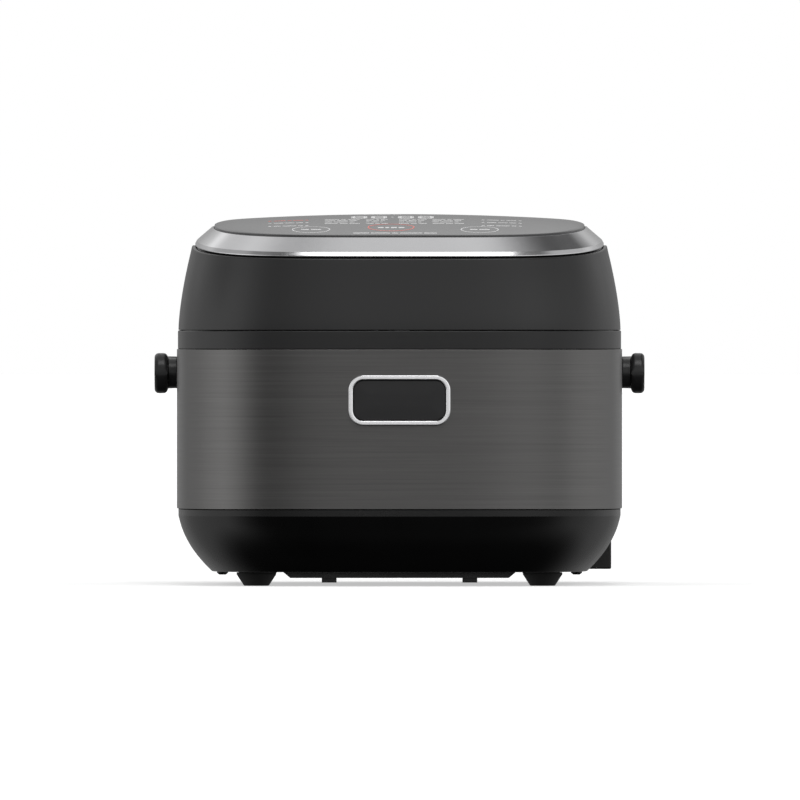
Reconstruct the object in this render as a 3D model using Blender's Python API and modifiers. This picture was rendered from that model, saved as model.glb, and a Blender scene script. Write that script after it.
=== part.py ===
"""Square-plan induction rice cooker with a swing carry handle, built as the pieces it is assembled from.

Metres, +Z up, front towards -Y. The counter is at z = 0, and the origin is under the middle of the cooker.
"""

import math

import bmesh
import bpy
from mathutils import Matrix, Vector

# Gaps between pieces
GAP = 0.0003  # pieces that touch
SLACK = 0.0006  # pieces that slip past each other

# Body plan: a squared-off ellipse, |x/a|^n + |y/b|^n = 1
SQUARENESS = 4.8
HALF_WIDTH = 0.135
HALF_DEPTH = 0.165
OUTLINE_STEPS = 40

# Heights of the stack, from the counter up
FOOT_HEIGHT = 0.0084
BASE_HEIGHT = 0.0378
BAND_HEIGHT = 0.0970
COLLAR_HEIGHT = 0.0110
LID_WALL_HEIGHT = 0.0417
LID_RISE = 0.0093  # how far the lid's rim climbs from its front edge to its level part
LID_RISE_DEPTH = HALF_DEPTH  # the depth over which it climbs
BASE_TOP = FOOT_HEIGHT + BASE_HEIGHT
BAND_TOP = BASE_TOP + BAND_HEIGHT
COLLAR_TOP = BAND_TOP + COLLAR_HEIGHT
LID_BOTTOM = COLLAR_TOP + GAP
RIM_HEIGHT = LID_BOTTOM + LID_WALL_HEIGHT

# Walls
SHELL_INSET = 0.0009  # the base and the lid stand this far inside the steel
BAND_WALL = 0.0008
BASE_WALL = 0.0024
BASE_TAPER = 0.0203  # how far the base draws in from its ledge down to its underside
BASE_LEDGE = 0.0040
BASE_FLANGE_WIDTH = 0.0075  # of the flange that the bottom cover is screwed to
BASE_FLANGE_THICKNESS = 0.0022
COLLAR_INSET = 0.0006
COLLAR_CHAMFER = 0.0006
COLLAR_WALL = 0.0024
DECK_THICKNESS = 0.0025
DECK_DROP = 0.0047  # from the collar's rim down to the deck round the pot
COVER_THICKNESS = 0.0025

# Lid top
LID_LEAN = 0.0083  # how far the lid's wall leans in
LID_WALL = 0.0023
BEVEL_INSET = 0.0111  # from the body's outline in to the ring's outer edge
BEVEL_WIDTH = 0.0110
BEVEL_HEIGHT = 0.0099
RING_THICKNESS = 0.0018
RING_LIP = 0.0013  # the upright edge at the ring's foot
RING_FOOT = RIM_HEIGHT + 0.0014
RING_TOP = RING_FOOT + BEVEL_HEIGHT + 0.0008
GLASS_THICKNESS = 0.0040
GLASS_CROWN = 0.0038
GLASS_ROLL = 0.0022  # how far the glass falls away close to its side edges
GLASS_EDGE = RING_TOP + 0.0013  # the height of the glass where it meets the ring, before the rise
LID_LEDGE_WIDTH = 0.0070  # of the shelf that the glass rests over
LID_LEDGE_THICKNESS = 0.0022
LOWER_COVER_THICKNESS = 0.0022

# Hinge at the rear
HINGE_SETBACK = 0.015  # from the body's rear to the pin
HINGE_HEIGHT = 0.0108  # of the pin above the collar's rim
HINGE_BARREL = 0.0100
PIN_RADIUS = 0.0030
PIN_BORE = 0.0033
LUG_INNER = 0.0565
LUG_OUTER = 0.0720
ARM_INNER = 0.0360
ARM_OUTER = 0.0560
ARM_TONGUE = 0.0360  # how far the lid's arms reach ahead of the pin

# Pot, coil and sensor
POT_RADIUS = 0.1025
POT_WALL = 0.0020
POT_FLANGE = 0.0080
POT_BOTTOM = 0.0380
POT_CORNER = 0.0350
POT_RIM_THICKNESS = 0.0015
POT_ROOM = 0.0028  # between the pot and the bowl that carries the coil
CHAMBER_WALL = 0.0012
COIL_INNER = 0.0300
COIL_OUTER = POT_RADIUS - 0.0245
COIL_THICKNESS = 0.0057
CARRIER_WALL = 0.0026
SENSOR_RADIUS = 0.0140
SENSOR_STEM = 0.0060
SENSOR_SLEEVE = 0.0150
FERRITE_COUNT = 3
FERRITE_HALF_WIDTH = 0.0050
FERRITE_THICKNESS = 0.0050

# Steam vent
STEAM_Y = POT_RADIUS - 0.0245
HEATER_OUTER = POT_RADIUS - 0.0445
HEATER_INNER = HEATER_OUTER - 0.0180
STEAM_HALF_WIDTH = 0.0300
STEAM_HALF_DEPTH = 0.0170
STEAM_CORNER = 0.0140
STEAM_CAP_THICKNESS = 0.0085
STEAM_DUCT = 0.0130
STEAM_DUCT_WALL = 0.0015

# Carry handle
HANDLE_PIVOT_HEIGHT = BAND_TOP - 0.0150
HANDLE_SECTION = 0.0244
HANDLE_THICKNESS = 0.0080
HANDLE_GRIP_THICKNESS = 0.0090
HANDLE_GRIP_SHARE = 0.78  # the grip's height against the height at the pivots
HANDLE_REACH = HALF_DEPTH + 0.0115  # from the pivot to the middle of the grip
HANDLE_SIDE_ROOM = 0.0058
HANDLE_CORNER = 0.0380
PIVOT_BOSS = 0.0091
PIVOT_PIN = 0.0047
PIVOT_NECK = 0.0067

# Release button and latch
BUTTON_HEIGHT = BAND_TOP - 0.0309
BUTTON_WIDTH = 0.0554
BUTTON_TALL = 0.0241
FRAME_BORDER = 0.0030
FRAME_PROUD = 0.0020
FRAME_CORNER = 0.0090
FRAME_NECK_WALL = 0.0010
FRAME_NECK_LENGTH = 0.0060
BUTTON_THICKNESS = 0.0040
BUTTON_ROOM = 0.0004
CUP_WALL = 0.0016
CUP_DEPTH = 0.0120  # of the cup's floor behind the steel
STEM_RADIUS = 0.0030
LATCH_PIVOT_Y = 0.0170 - HALF_DEPTH
LATCH_PIVOT_Z = BAND_TOP - 0.0152
LATCH_HALF_WIDTH = 0.0060
CATCH_WINDOW = 0.0165

# Feet, fan, boards and inlet
FOOT_X = HALF_WIDTH - 0.0485
FOOT_Y = HALF_DEPTH - 0.0570
FOOT_TOP = 0.0120
FOOT_BOTTOM = 0.0075
FAN_SIZE = 0.0560
FAN_HEIGHT = 0.0130
FAN_X = -0.0500
FAN_Y = HALF_DEPTH - 0.0700
FAN_BLADES = 5
BOARD_THICKNESS = 0.0016
BOARD_HALF_WIDTH = 0.0600
BOARD_Y = POT_RADIUS + 0.0235
SINK_FINS = 7
SINK_PITCH = 0.0085
SINK_DEPTH = 0.0200
SINK_ROOT = 0.0040
INLET_WIDTH = 0.0240
INLET_HEIGHT = 0.0193
INLET_FRONT = 0.0600
INLET_DEPTH = 0.0480
SOCKET_WIDTH = 0.0280
SOCKET_DEPTH = 0.0160
SOCKET_WALL = 0.0025
INLET_PIN_SPREAD = 0.0065  # from the middle of the socket to each pin
INLET_PIN_LENGTH = 0.0110
SCREW_X = HALF_WIDTH - 0.0277
SCREW_Y = 0.0450
SCREW_HOLE = 0.0020
GRILLE_HALF_WIDTH = 0.0700
GRILLE_DEPTH = 0.0600
GRILLE_Y = 0.0700 - HALF_DEPTH
GRILLE_LOW = 0.0048

# The cooker's own centre lies ahead of the body's, because the handle reaches out behind
REAR_END = HANDLE_REACH + HANDLE_GRIP_THICKNESS / 2
FRONT_END = HALF_DEPTH + FRAME_PROUD
CENTRE_SHIFT = (FRONT_END - REAR_END) / 2

HINGE_Y = HALF_DEPTH - HINGE_SETBACK
HINGE_Z = COLLAR_TOP + HINGE_HEIGHT
LID_REAR = HINGE_Y - HINGE_BARREL - 0.0025

FACING_X = (math.pi / 2, 0, math.pi / 2)  # turns a flat outline so that it is drawn in Y and Z
FACING_Y = (math.pi / 2, 0, 0)  # turns a flat outline so that it is drawn in X and Z
ALONG_X = (0, math.pi / 2, 0)  # turns a piece's own axis to X


def start_scene():
    """Clears the scene, and gives the collections and the empty that every piece hangs from."""
    for old in list(bpy.data.objects):
        bpy.data.objects.remove(old, do_unlink=True)
    groups = []
    for name in ("rice_cooker", "cutters"):
        group = bpy.data.collections.new(name)
        bpy.context.scene.collection.children.link(group)
        groups.append(group)
    centre = bpy.data.objects.new("body_centre", None)
    centre.location = (0, CENTRE_SHIFT, 0)
    groups[0].objects.link(centre)
    return groups[0], groups[1], centre


PARTS, CUTTERS, CENTRE = start_scene()


def finish(name, colour, roughness, metallic=0.0):
    """A plain material in the piece's own colour."""
    made = bpy.data.materials.new(name)
    made.use_nodes = True
    shader = made.node_tree.nodes["Principled BSDF"]
    shader.inputs["Base Color"].default_value = (*colour, 1)
    shader.inputs["Roughness"].default_value = roughness
    shader.inputs["Metallic"].default_value = metallic
    return made


DARK_PLASTIC = finish("dark_grey_plastic", (0.055, 0.055, 0.058), 0.38)
BLACK_PLASTIC = finish("black_plastic", (0.014, 0.014, 0.015), 0.35)
INNER_PLASTIC = finish("inner_grey_plastic", (0.16, 0.16, 0.165), 0.5)
STEEL = finish("brushed_dark_steel", (0.20, 0.195, 0.19), 0.33, 1.0)
CHROME = finish("satin_chrome", (0.62, 0.62, 0.63), 0.16, 1.0)
GLASS = finish("dark_glass", (0.10, 0.10, 0.105), 0.08)
BUTTON_PLASTIC = finish("button_plastic", (0.03, 0.03, 0.032), 0.4)
RUBBER = finish("black_rubber", (0.02, 0.02, 0.02), 0.8)
SILICONE = finish("grey_silicone", (0.35, 0.35, 0.36), 0.6)
ALUMINIUM = finish("aluminium", (0.62, 0.62, 0.64), 0.35, 1.0)
POT_COATING = finish("pot_coating", (0.07, 0.065, 0.06), 0.45)
SPRING_STEEL = finish("spring_steel", (0.5, 0.5, 0.51), 0.3, 1.0)
COPPER = finish("copper_winding", (0.60, 0.24, 0.10), 0.4, 1.0)
FERRITE = finish("ferrite", (0.05, 0.05, 0.055), 0.7)
BOARD = finish("circuit_board", (0.03, 0.16, 0.07), 0.5)
BRASS = finish("brass", (0.70, 0.52, 0.22), 0.3, 1.0)


def put(name, mesh_or_curve, material, at=(0, 0, 0), turned_by=(0, 0, 0)):
    """Makes the object, in the parts' collection, or among the cutters where it has no material."""
    made = bpy.data.objects.new(name, mesh_or_curve)
    made.location = at
    made.rotation_euler = turned_by
    made.parent = CENTRE
    if material is None:
        CUTTERS.objects.link(made)
        made.hide_render = True
        made.display_type = "WIRE"
    else:
        PARTS.objects.link(made)
        made.data.materials.append(material)
    return made


def shade(mesh):
    mesh.shade_smooth()
    mesh.set_sharp_from_angle(angle=math.radians(35))


def outline_point(turn, inset=0.0, rear=HALF_DEPTH):
    """A point on the body's outline, moved in by the inset. The rear half may be shorter than the front."""
    across = math.cos(turn)
    along = math.sin(turn)
    power = 2 / SQUARENESS
    depth = (rear if along > 0 else HALF_DEPTH) - inset
    x = (HALF_WIDTH - inset) * math.copysign(abs(across) ** power, across)
    y = depth * math.copysign(abs(along) ** power, along)
    return x, y


def rim_rise(y):
    """How far the lid's rim has climbed at this depth: steep at the front, level from the middle back."""
    along = min(max((y + HALF_DEPTH) / LID_RISE_DEPTH, 0), 1)
    return LID_RISE * (1 - (1 - along) ** 2)


def square(inset, height, climb=0.0, rear=HALF_DEPTH):
    """A level of a loft: the body's outline at this height, with a share of the lid's rise added."""

    def place(turn):
        x, y = outline_point(turn, inset, rear)
        return x, y, height + climb * rim_rise(y)

    return place


def circle(radius, height):
    """A round level of a loft."""

    def place(turn):
        return radius * math.cos(turn), radius * math.sin(turn), height

    return place


def dome(share, edge_inset, height):
    """A level of the glass: its outline shrunk to a share of its size, on the crowned and rising surface."""

    def place(turn):
        x, y = outline_point(turn, edge_inset, LID_REAR)
        x *= share
        y *= share
        half_depth = (LID_REAR if y > 0 else HALF_DEPTH) - edge_inset
        roll = GLASS_ROLL * (1 - share**24) * (1 - (abs(y) / half_depth) ** 2.5)
        return x, y, height + rim_rise(y) + roll + GLASS_CROWN * (1 - share**2)

    return place


def loft(name, levels, material, ends="joined"):
    """A skin through the levels. Its ends are joined to each other, filled flat, or brought to a point."""
    shape = bmesh.new()
    layer = shape.verts.layers.int.new("step")
    ring = bmesh.ops.create_circle(shape, segments=OUTLINE_STEPS, radius=1)["verts"]
    for number, vert in enumerate(ring):
        vert[layer] = number

    def move(verts, level):
        for vert in verts:
            vert.co = level(2 * math.pi * vert[layer] / OUTLINE_STEPS)

    move(ring, levels[0])
    first = list(shape.edges)
    last = first
    for level in levels[1:]:
        grown = bmesh.ops.extrude_edge_only(shape, edges=last)["geom"]
        ring = [part for part in grown if isinstance(part, bmesh.types.BMVert)]
        last = [part for part in grown if isinstance(part, bmesh.types.BMEdge)]
        move(ring, level)
    if ends == "joined":
        bmesh.ops.bridge_loops(shape, edges=first + last)
    if ends == "flat":
        bmesh.ops.contextual_create(shape, geom=first)
        bmesh.ops.contextual_create(shape, geom=last)
    if ends == "pointed":
        for edges in (first, last):
            verts = list({vert for edge in edges for vert in edge.verts})
            middle = sum((vert.co for vert in verts), Vector()) / len(verts)
            bmesh.ops.pointmerge(shape, verts=verts, merge_co=middle)
    bmesh.ops.recalc_face_normals(shape, faces=shape.faces)
    mesh = bpy.data.meshes.new(name)
    shape.to_mesh(mesh)
    shape.free()
    shade(mesh)
    return put(name, mesh, material)


def turned(name, profile, material, at=(0, 0, 0), turned_by=(0, 0, 0), steps=24, closed=False):
    """A turned piece. Its profile is (radius, height) points, down the outer side."""
    mesh = bpy.data.meshes.new(name)
    edges = [(number, number + 1) for number in range(len(profile) - 1)]
    if closed:
        edges.append((len(profile) - 1, 0))
    mesh.from_pydata([(radius, 0, height) for radius, height in profile], edges, [])
    made = put(name, mesh, material, at, turned_by)
    spin = made.modifiers.new("turn", "SCREW")
    spin.steps = steps
    spin.render_steps = steps
    spin.use_merge_vertices = True
    spin.merge_threshold = 0.00001
    return made


def ring_profile(inner, outer, low, high):
    """The closed profile of a plain ring."""
    return [(outer, high), (outer, low), (inner, low), (inner, high)]


def rod(name, radius, length, material, at=(0, 0, 0), turned_by=(0, 0, 0), sides=16):
    """A solid cylinder centred on its place."""
    shape = bmesh.new()
    bmesh.ops.create_cone(
        shape, cap_ends=True, segments=sides, radius1=radius, radius2=radius, depth=length
    )
    mesh = bpy.data.meshes.new(name)
    shape.to_mesh(mesh)
    shape.free()
    shade(mesh)
    return put(name, mesh, material, at, turned_by)


def add_box(shape, low, high):
    """Adds a box between two corners to a bmesh."""
    size = [top - bottom for bottom, top in zip(low, high)]
    middle = [(top + bottom) / 2 for bottom, top in zip(low, high)]
    matrix = Matrix.Translation(middle) @ Matrix.Diagonal((*size, 1))
    return bmesh.ops.create_cube(shape, size=1, matrix=matrix)["verts"]


def boxes(name, corners, material, rounding=0.0):
    """One or more boxes, each given by its low and high corners."""
    shape = bmesh.new()
    for low, high in corners:
        add_box(shape, low, high)
    mesh = bpy.data.meshes.new(name)
    shape.to_mesh(mesh)
    shape.free()
    made = put(name, mesh, material)
    if rounding:
        edge = made.modifiers.new("rounding", "BEVEL")
        edge.width = rounding
        edge.segments = 2
        edge.limit_method = "ANGLE"
    return made


def rounded_corners(half_width, half_height, radius, steps=4):
    """The points of a rectangle with round corners, anticlockwise."""
    points = []
    for quarter in range(4):
        side = 1 if quarter in (0, 3) else -1
        level = 1 if quarter in (0, 1) else -1
        for step in range(steps + 1):
            angle = (quarter + step / steps) * math.pi / 2
            x = side * (half_width - radius) + radius * math.cos(angle)
            y = level * (half_height - radius) + radius * math.sin(angle)
            points.append((x, y))
    return points


def round_points(radius, x=0.0, y=0.0, sides=16):
    """The points of a circle."""
    turns = [2 * math.pi * number / sides for number in range(sides)]
    return [(x + radius * math.cos(turn), y + radius * math.sin(turn)) for turn in turns]


def plate(name, outlines, thickness, material, at=(0, 0, 0), turned_by=(0, 0, 0)):
    """A flat piece: its outer outline and any holes, filled and given a thickness about its place."""
    curve = bpy.data.curves.new(name, "CURVE")
    curve.dimensions = "2D"
    curve.fill_mode = "BOTH"
    curve.extrude = thickness / 2
    for points in outlines:
        spline = curve.splines.new("POLY")
        spline.points.add(len(points) - 1)
        for point, (x, y) in zip(spline.points, points):
            point.co = (x, y, 0, 1)
        spline.use_cyclic_u = True
    return as_mesh(put(name, curve, material, at, turned_by))


def as_mesh(drawn):
    """The mesh of a curve object, with its caps welded on, in the curve's place."""
    bpy.context.view_layer.update()
    graph = bpy.context.evaluated_depsgraph_get()
    mesh = bpy.data.meshes.new_from_object(drawn.evaluated_get(graph))
    shape = bmesh.new()
    shape.from_mesh(mesh)
    bmesh.ops.remove_doubles(shape, verts=shape.verts, dist=0.00001)
    bmesh.ops.recalc_face_normals(shape, faces=shape.faces)
    shape.to_mesh(mesh)
    shape.free()
    shade(mesh)
    name = drawn.name
    is_part = PARTS in drawn.users_collection
    material = drawn.data.materials[0] if is_part else None
    place = drawn.matrix_world.copy()
    bpy.data.objects.remove(drawn, do_unlink=True)
    mesh.materials.clear()
    made = put(name, mesh, material)
    made.matrix_world = place
    return made


def coil(name, radius, wire, length, turns, at, turned_by=(0, 0, 0)):
    """A wire spring along its own Z, from its place upwards, measured to the middle of the wire."""
    steps_a_turn = 8
    curve = bpy.data.curves.new(name, "CURVE")
    curve.dimensions = "3D"
    curve.bevel_depth = wire
    curve.bevel_resolution = 1
    curve.use_fill_caps = True
    spline = curve.splines.new("POLY")
    count = turns * steps_a_turn + 1
    spline.points.add(count - 1)
    for number, point in enumerate(spline.points):
        turn = 2 * math.pi * number / steps_a_turn
        rise = wire + (length - 2 * wire) * number / (count - 1)
        point.co = (radius * math.cos(turn), radius * math.sin(turn), rise, 1)
    return put(name, curve, SPRING_STEEL, at, turned_by)


def cut(piece, cutter, operation="DIFFERENCE"):
    """Cuts the cutter out of the piece, or joins it on."""
    change = piece.modifiers.new(cutter.name, "BOOLEAN")
    change.operation = operation
    change.object = cutter
    change.solver = "EXACT"


# Base


def base_wall_inset(height):
    """How far in the base's outer wall is at this height: a curve that draws in faster towards the bottom."""
    ledge = BASE_TOP - BASE_LEDGE
    share = (ledge - height) / (ledge - FOOT_HEIGHT)
    return SHELL_INSET + BASE_TAPER * (0.35 * share + 0.65 * share**2.2)


def inlet_corners(clearance=0.0):
    """The block that the power inlet fills, low on the right-hand side towards the rear."""
    outer = HALF_WIDTH - base_wall_inset(FOOT_HEIGHT + INLET_HEIGHT)
    low = (outer - INLET_WIDTH - clearance, INLET_FRONT - clearance, FOOT_HEIGHT - clearance)
    high = (outer, INLET_FRONT + INLET_DEPTH + clearance, FOOT_HEIGHT + INLET_HEIGHT + clearance)
    return low, high


def screw_places():
    return [(side * SCREW_X, end * SCREW_Y) for side in (-1, 1) for end in (-1, 1)]


def foot_places():
    return {
        "front_left_foot": (-FOOT_X, -FOOT_Y),
        "front_right_foot": (FOOT_X, -FOOT_Y),
        "rear_left_foot": (-FOOT_X, FOOT_Y),
        "rear_right_foot": (FOOT_X, FOOT_Y),
    }


def drill(name, pieces, places, radius, low, high, sides=12):
    """Drills upright holes through each of the pieces at the places."""
    shape = bmesh.new()
    for x, y in places:
        bmesh.ops.create_cone(
            shape, cap_ends=True, segments=sides, radius1=radius, radius2=radius, depth=high - low,
            matrix=Matrix.Translation((x, y, (low + high) / 2)),
        )
    mesh = bpy.data.meshes.new(name)
    shape.to_mesh(mesh)
    shape.free()
    cutter = put(name, mesh, None)
    for piece in pieces:
        cut(piece, cutter)


def make_base():
    """The black tapered base, its flat cover, the four feet, the screws and the intake grille."""
    cover_top = FOOT_HEIGHT + COVER_THICKNESS
    flange_low = cover_top + GAP
    flange_high = flange_low + BASE_FLANGE_THICKNESS
    ledge = BASE_TOP - BASE_LEDGE
    edge = base_wall_inset(FOOT_HEIGHT)
    cover_inset = edge + BASE_WALL + GAP
    flange_inset = cover_inset + BASE_FLANGE_WIDTH
    shares = (0.92, 0.7, 0.48, 0.26, 0.06, 0)
    outer_heights = [FOOT_HEIGHT + share * (ledge - FOOT_HEIGHT) for share in shares]
    outer = [square(SHELL_INSET, BASE_TOP), square(SHELL_INSET, ledge)]
    outer += [square(base_wall_inset(height), height) for height in outer_heights]
    inner = [square(base_wall_inset(height) + BASE_WALL + 0.0004, height) for height in outer_heights[3:0:-1]]
    floor = [
        square(edge + BASE_WALL, FOOT_HEIGHT),
        square(edge + BASE_WALL, flange_low),
        square(flange_inset, flange_low),
        square(flange_inset, flange_high),
        square(edge + BASE_WALL - 0.0006, flange_high),
    ]
    top = [square(SHELL_INSET + BASE_WALL, ledge), square(SHELL_INSET + BASE_WALL, BASE_TOP)]
    housing = loft("base_housing", outer + floor + inner + top, BLACK_PLASTIC)
    levels = [square(cover_inset, FOOT_HEIGHT), square(cover_inset, cover_top)]
    cover = loft("bottom_cover", levels, BLACK_PLASTIC, "flat")
    notch = boxes("inlet_notch", [inlet_corners(SLACK)], None)
    notch.location.x = SLACK
    cut(housing, notch)
    cut(cover, notch)
    below = FOOT_HEIGHT - 0.001
    drill("screw_holes", [housing, cover], screw_places(), SCREW_HOLE, below, flange_high + 0.001)
    drill("foot_holes", [cover], foot_places().values(), 0.0034, below, cover_top + 0.001)
    slots = []
    for number in range(-2, 3):
        y = FAN_Y + number * 0.009
        slots.append(((FAN_X - 0.022, y - 0.002, 0), (FAN_X + 0.022, y + 0.002, cover_top + 0.001)))
    cut(cover, boxes("fan_slots", slots, None))
    for name, (x, y) in foot_places().items():
        profile = [(0, cover_top + 0.0014), (0.0031, cover_top + 0.0014), (0.0031, FOOT_HEIGHT - GAP)]
        profile += [(FOOT_TOP, FOOT_HEIGHT - GAP), (FOOT_TOP, FOOT_HEIGHT - 0.0015)]
        profile += [(FOOT_BOTTOM, 0), (0, 0)]
        turned(name, profile, RUBBER, (x, y, 0), steps=20)
    for x, y in screw_places():
        end = "front" if y < 0 else "rear"
        side = "left" if x < 0 else "right"
        head = FOOT_HEIGHT - GAP
        profile = [(0, flange_high + 0.002), (0.0016, flange_high + 0.002), (0.0016, head)]
        profile += [(0.0034, head), (0.0034, head - 0.0008), (0.0020, head - 0.0019), (0, head - 0.0019)]
        turned(f"base_screw_{end}_{side}", profile, SPRING_STEEL, (x, y, 0), steps=10)
    make_intake_grille()


def make_intake_grille():
    """The low raised panel under the front of the base, with two ribs that stand below it."""
    high = FOOT_HEIGHT - GAP
    low_half_width = GRILLE_HALF_WIDTH - 0.004
    outline = [
        (-GRILLE_HALF_WIDTH, high),
        (-low_half_width, GRILLE_LOW),
        (low_half_width, GRILLE_LOW),
        (GRILLE_HALF_WIDTH, high),
    ]
    grille = plate("intake_grille", [outline], GRILLE_DEPTH, BLACK_PLASTIC, (0, GRILLE_Y, 0), FACING_Y)
    ribs = []
    slots = []
    for rib_x in (-0.0425, 0.0425):
        rib_low = (rib_x - 0.0045, GRILLE_Y - 0.025, 0.0020)
        rib_high = (rib_x + 0.0045, GRILLE_Y - 0.021, GRILLE_LOW + 0.0012)
        ribs.append((rib_low, rib_high))
    for number in range(-3, 4):
        x = number * 0.0175
        slots.append(((x - 0.005, GRILLE_Y - 0.012, 0), (x + 0.005, GRILLE_Y + 0.022, high + 0.01)))
    cut(grille, boxes("grille_ribs", ribs, None), "UNION")
    cut(grille, boxes("grille_slots", slots, None))


# Body


def make_body():
    """The steel wrap round the body, the collar with its deck, and the heat chamber round the pot."""
    wrap_low = BASE_TOP + GAP
    wrap_high = BAND_TOP - GAP
    levels = [square(0, wrap_high), square(0, wrap_low)]
    levels += [square(BAND_WALL, wrap_low), square(BAND_WALL, wrap_high)]
    wrap = loft("steel_wrap", levels, STEEL)
    overlap = 0.0012  # of the button's frame over the edge of its opening
    border = FRAME_BORDER - overlap
    opening = rounded_corners(BUTTON_WIDTH / 2 + border, BUTTON_TALL / 2 + border, FRAME_CORNER - overlap)
    cut(wrap, plate("button_opening", [opening], 0.02, None, (0, -HALF_DEPTH, BUTTON_HEIGHT), FACING_Y))
    pivots = (0, 0, HANDLE_PIVOT_HEIGHT)
    cut(wrap, rod("pivot_bore", PIVOT_NECK + GAP, 3 * HALF_WIDTH, None, pivots, ALONG_X))
    inner_inset = COLLAR_INSET + COLLAR_WALL
    deck_top = COLLAR_TOP - DECK_DROP
    deck_low = deck_top - DECK_THICKNESS
    opening_radius = POT_RADIUS + 0.0030
    collar = loft(
        "top_frame",
        [
            square(inner_inset, COLLAR_TOP),
            square(COLLAR_INSET + COLLAR_CHAMFER, COLLAR_TOP),
            square(COLLAR_INSET, COLLAR_TOP - COLLAR_CHAMFER),
            square(COLLAR_INSET, BAND_TOP),
            square(inner_inset, BAND_TOP),
            square(inner_inset, deck_low),
            circle(opening_radius, deck_low),
            circle(opening_radius, deck_top),
            square(inner_inset, deck_top),
        ],
        DARK_PLASTIC,
    )
    slot_low = (-LATCH_HALF_WIDTH - 0.003, -HALF_DEPTH + inner_inset + 0.0015, deck_low - 0.001)
    slot_high = (LATCH_HALF_WIDTH + 0.003, LATCH_PIVOT_Y + 0.0095, deck_top + 0.001)
    cut(collar, boxes("latch_slot", [(slot_low, slot_high)], None))
    chamber_top = deck_low - GAP
    chamber_inner = POT_RADIUS + 0.0045
    chamber_outer = chamber_inner + CHAMBER_WALL
    chamber_low = POT_BOTTOM + POT_CORNER
    lip_outer = chamber_outer + 0.0055
    lip_low = chamber_top - 0.0015
    chamber = [(lip_outer, chamber_top), (lip_outer, lip_low), (chamber_outer, lip_low)]
    chamber += [(chamber_outer, chamber_low)]
    chamber += [(chamber_inner, chamber_low), (chamber_inner, chamber_top)]
    turned("inner_chamber", chamber, ALUMINIUM, steps=32, closed=True)


def pot_side(offset=0.0, steps=5):
    """The pot's outer profile from its straight wall down to its flat floor, moved out by the offset."""
    centre_radius = POT_RADIUS - POT_CORNER
    centre_height = POT_BOTTOM + POT_CORNER
    points = []
    for step in range(steps + 1):
        angle = math.pi / 2 * step / steps
        radius = centre_radius + (POT_CORNER + offset) * math.cos(angle)
        height = centre_height - (POT_CORNER + offset) * math.sin(angle)
        points.append((radius, height))
    return points


def make_pot_and_coil():
    """The lift-out pot, the bowl that carries the coil, the coil, its ferrite bars and the sensor."""
    deck_top = COLLAR_TOP - DECK_DROP
    flange_low = deck_top + GAP
    flange_high = flange_low + POT_RIM_THICKNESS
    rim = POT_RADIUS + POT_FLANGE
    pot = [(rim, flange_high), (rim, flange_low), (POT_RADIUS, flange_low)]
    pot += pot_side()
    pot += [(0, POT_BOTTOM), (0, POT_BOTTOM + POT_WALL)]
    pot += reversed(pot_side(-POT_WALL))
    pot += [(POT_RADIUS - POT_WALL, flange_high)]
    turned("inner_pot", pot, POT_COATING, steps=36, closed=True)

    coil_top = POT_BOTTOM - GAP - 0.0025 - CARRIER_WALL - GAP
    sleeve_low = coil_top - 0.0150
    sleeve_outer = SENSOR_SLEEVE + 0.0020
    bowl = pot_side(POT_ROOM + CARRIER_WALL)
    bowl_inside = pot_side(POT_ROOM)
    carrier = [bowl[0], *bowl[1:], (sleeve_outer, bowl[-1][1]), (sleeve_outer, sleeve_low)]
    carrier += [(SENSOR_STEM + SLACK, sleeve_low), (SENSOR_STEM + SLACK, sleeve_low + 0.0015)]
    carrier += [(SENSOR_SLEEVE, sleeve_low + 0.0015), (SENSOR_SLEEVE, bowl_inside[-1][1])]
    carrier += reversed(bowl_inside)
    turned("coil_carrier", carrier, BLACK_PLASTIC, steps=32, closed=True)

    winding_top = bowl[-1][1] - GAP
    winding_low = winding_top - COIL_THICKNESS
    shoulder = winding_top - 0.002
    winding = [(COIL_OUTER - 0.002, winding_top), (COIL_OUTER, shoulder), (COIL_OUTER, winding_low)]
    winding += [(COIL_INNER, winding_low), (COIL_INNER, shoulder), (COIL_INNER + 0.002, winding_top)]
    turned("induction_coil", winding, COPPER, steps=32, closed=True)
    for number in range(FERRITE_COUNT):
        bar_top = winding_low - GAP
        bar_low = (COIL_INNER, -FERRITE_HALF_WIDTH, bar_top - FERRITE_THICKNESS)
        bar_high = (COIL_OUTER - 0.004, FERRITE_HALF_WIDTH, bar_top)
        made = boxes(f"ferrite_bar_{number + 1}", [(bar_low, bar_high)], FERRITE)
        made.rotation_euler.z = math.radians(30 + number * 360 / FERRITE_COUNT)

    plunger_top = POT_BOTTOM - GAP
    disc_low = plunger_top - 0.0030
    plunger = [(0, plunger_top), (SENSOR_RADIUS - 0.001, plunger_top), (SENSOR_RADIUS, plunger_top - 0.001)]
    plunger += [(SENSOR_RADIUS, disc_low), (SENSOR_STEM, disc_low), (SENSOR_STEM, sleeve_low - 0.001)]
    plunger += [(0, sleeve_low - 0.001)]
    turned("sensor_plunger", plunger, ALUMINIUM)
    seat = sleeve_low + 0.0015 + GAP
    coil("sensor_spring", 0.0100, 0.0007, disc_low - GAP - seat, 4, (0, 0, seat))


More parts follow.
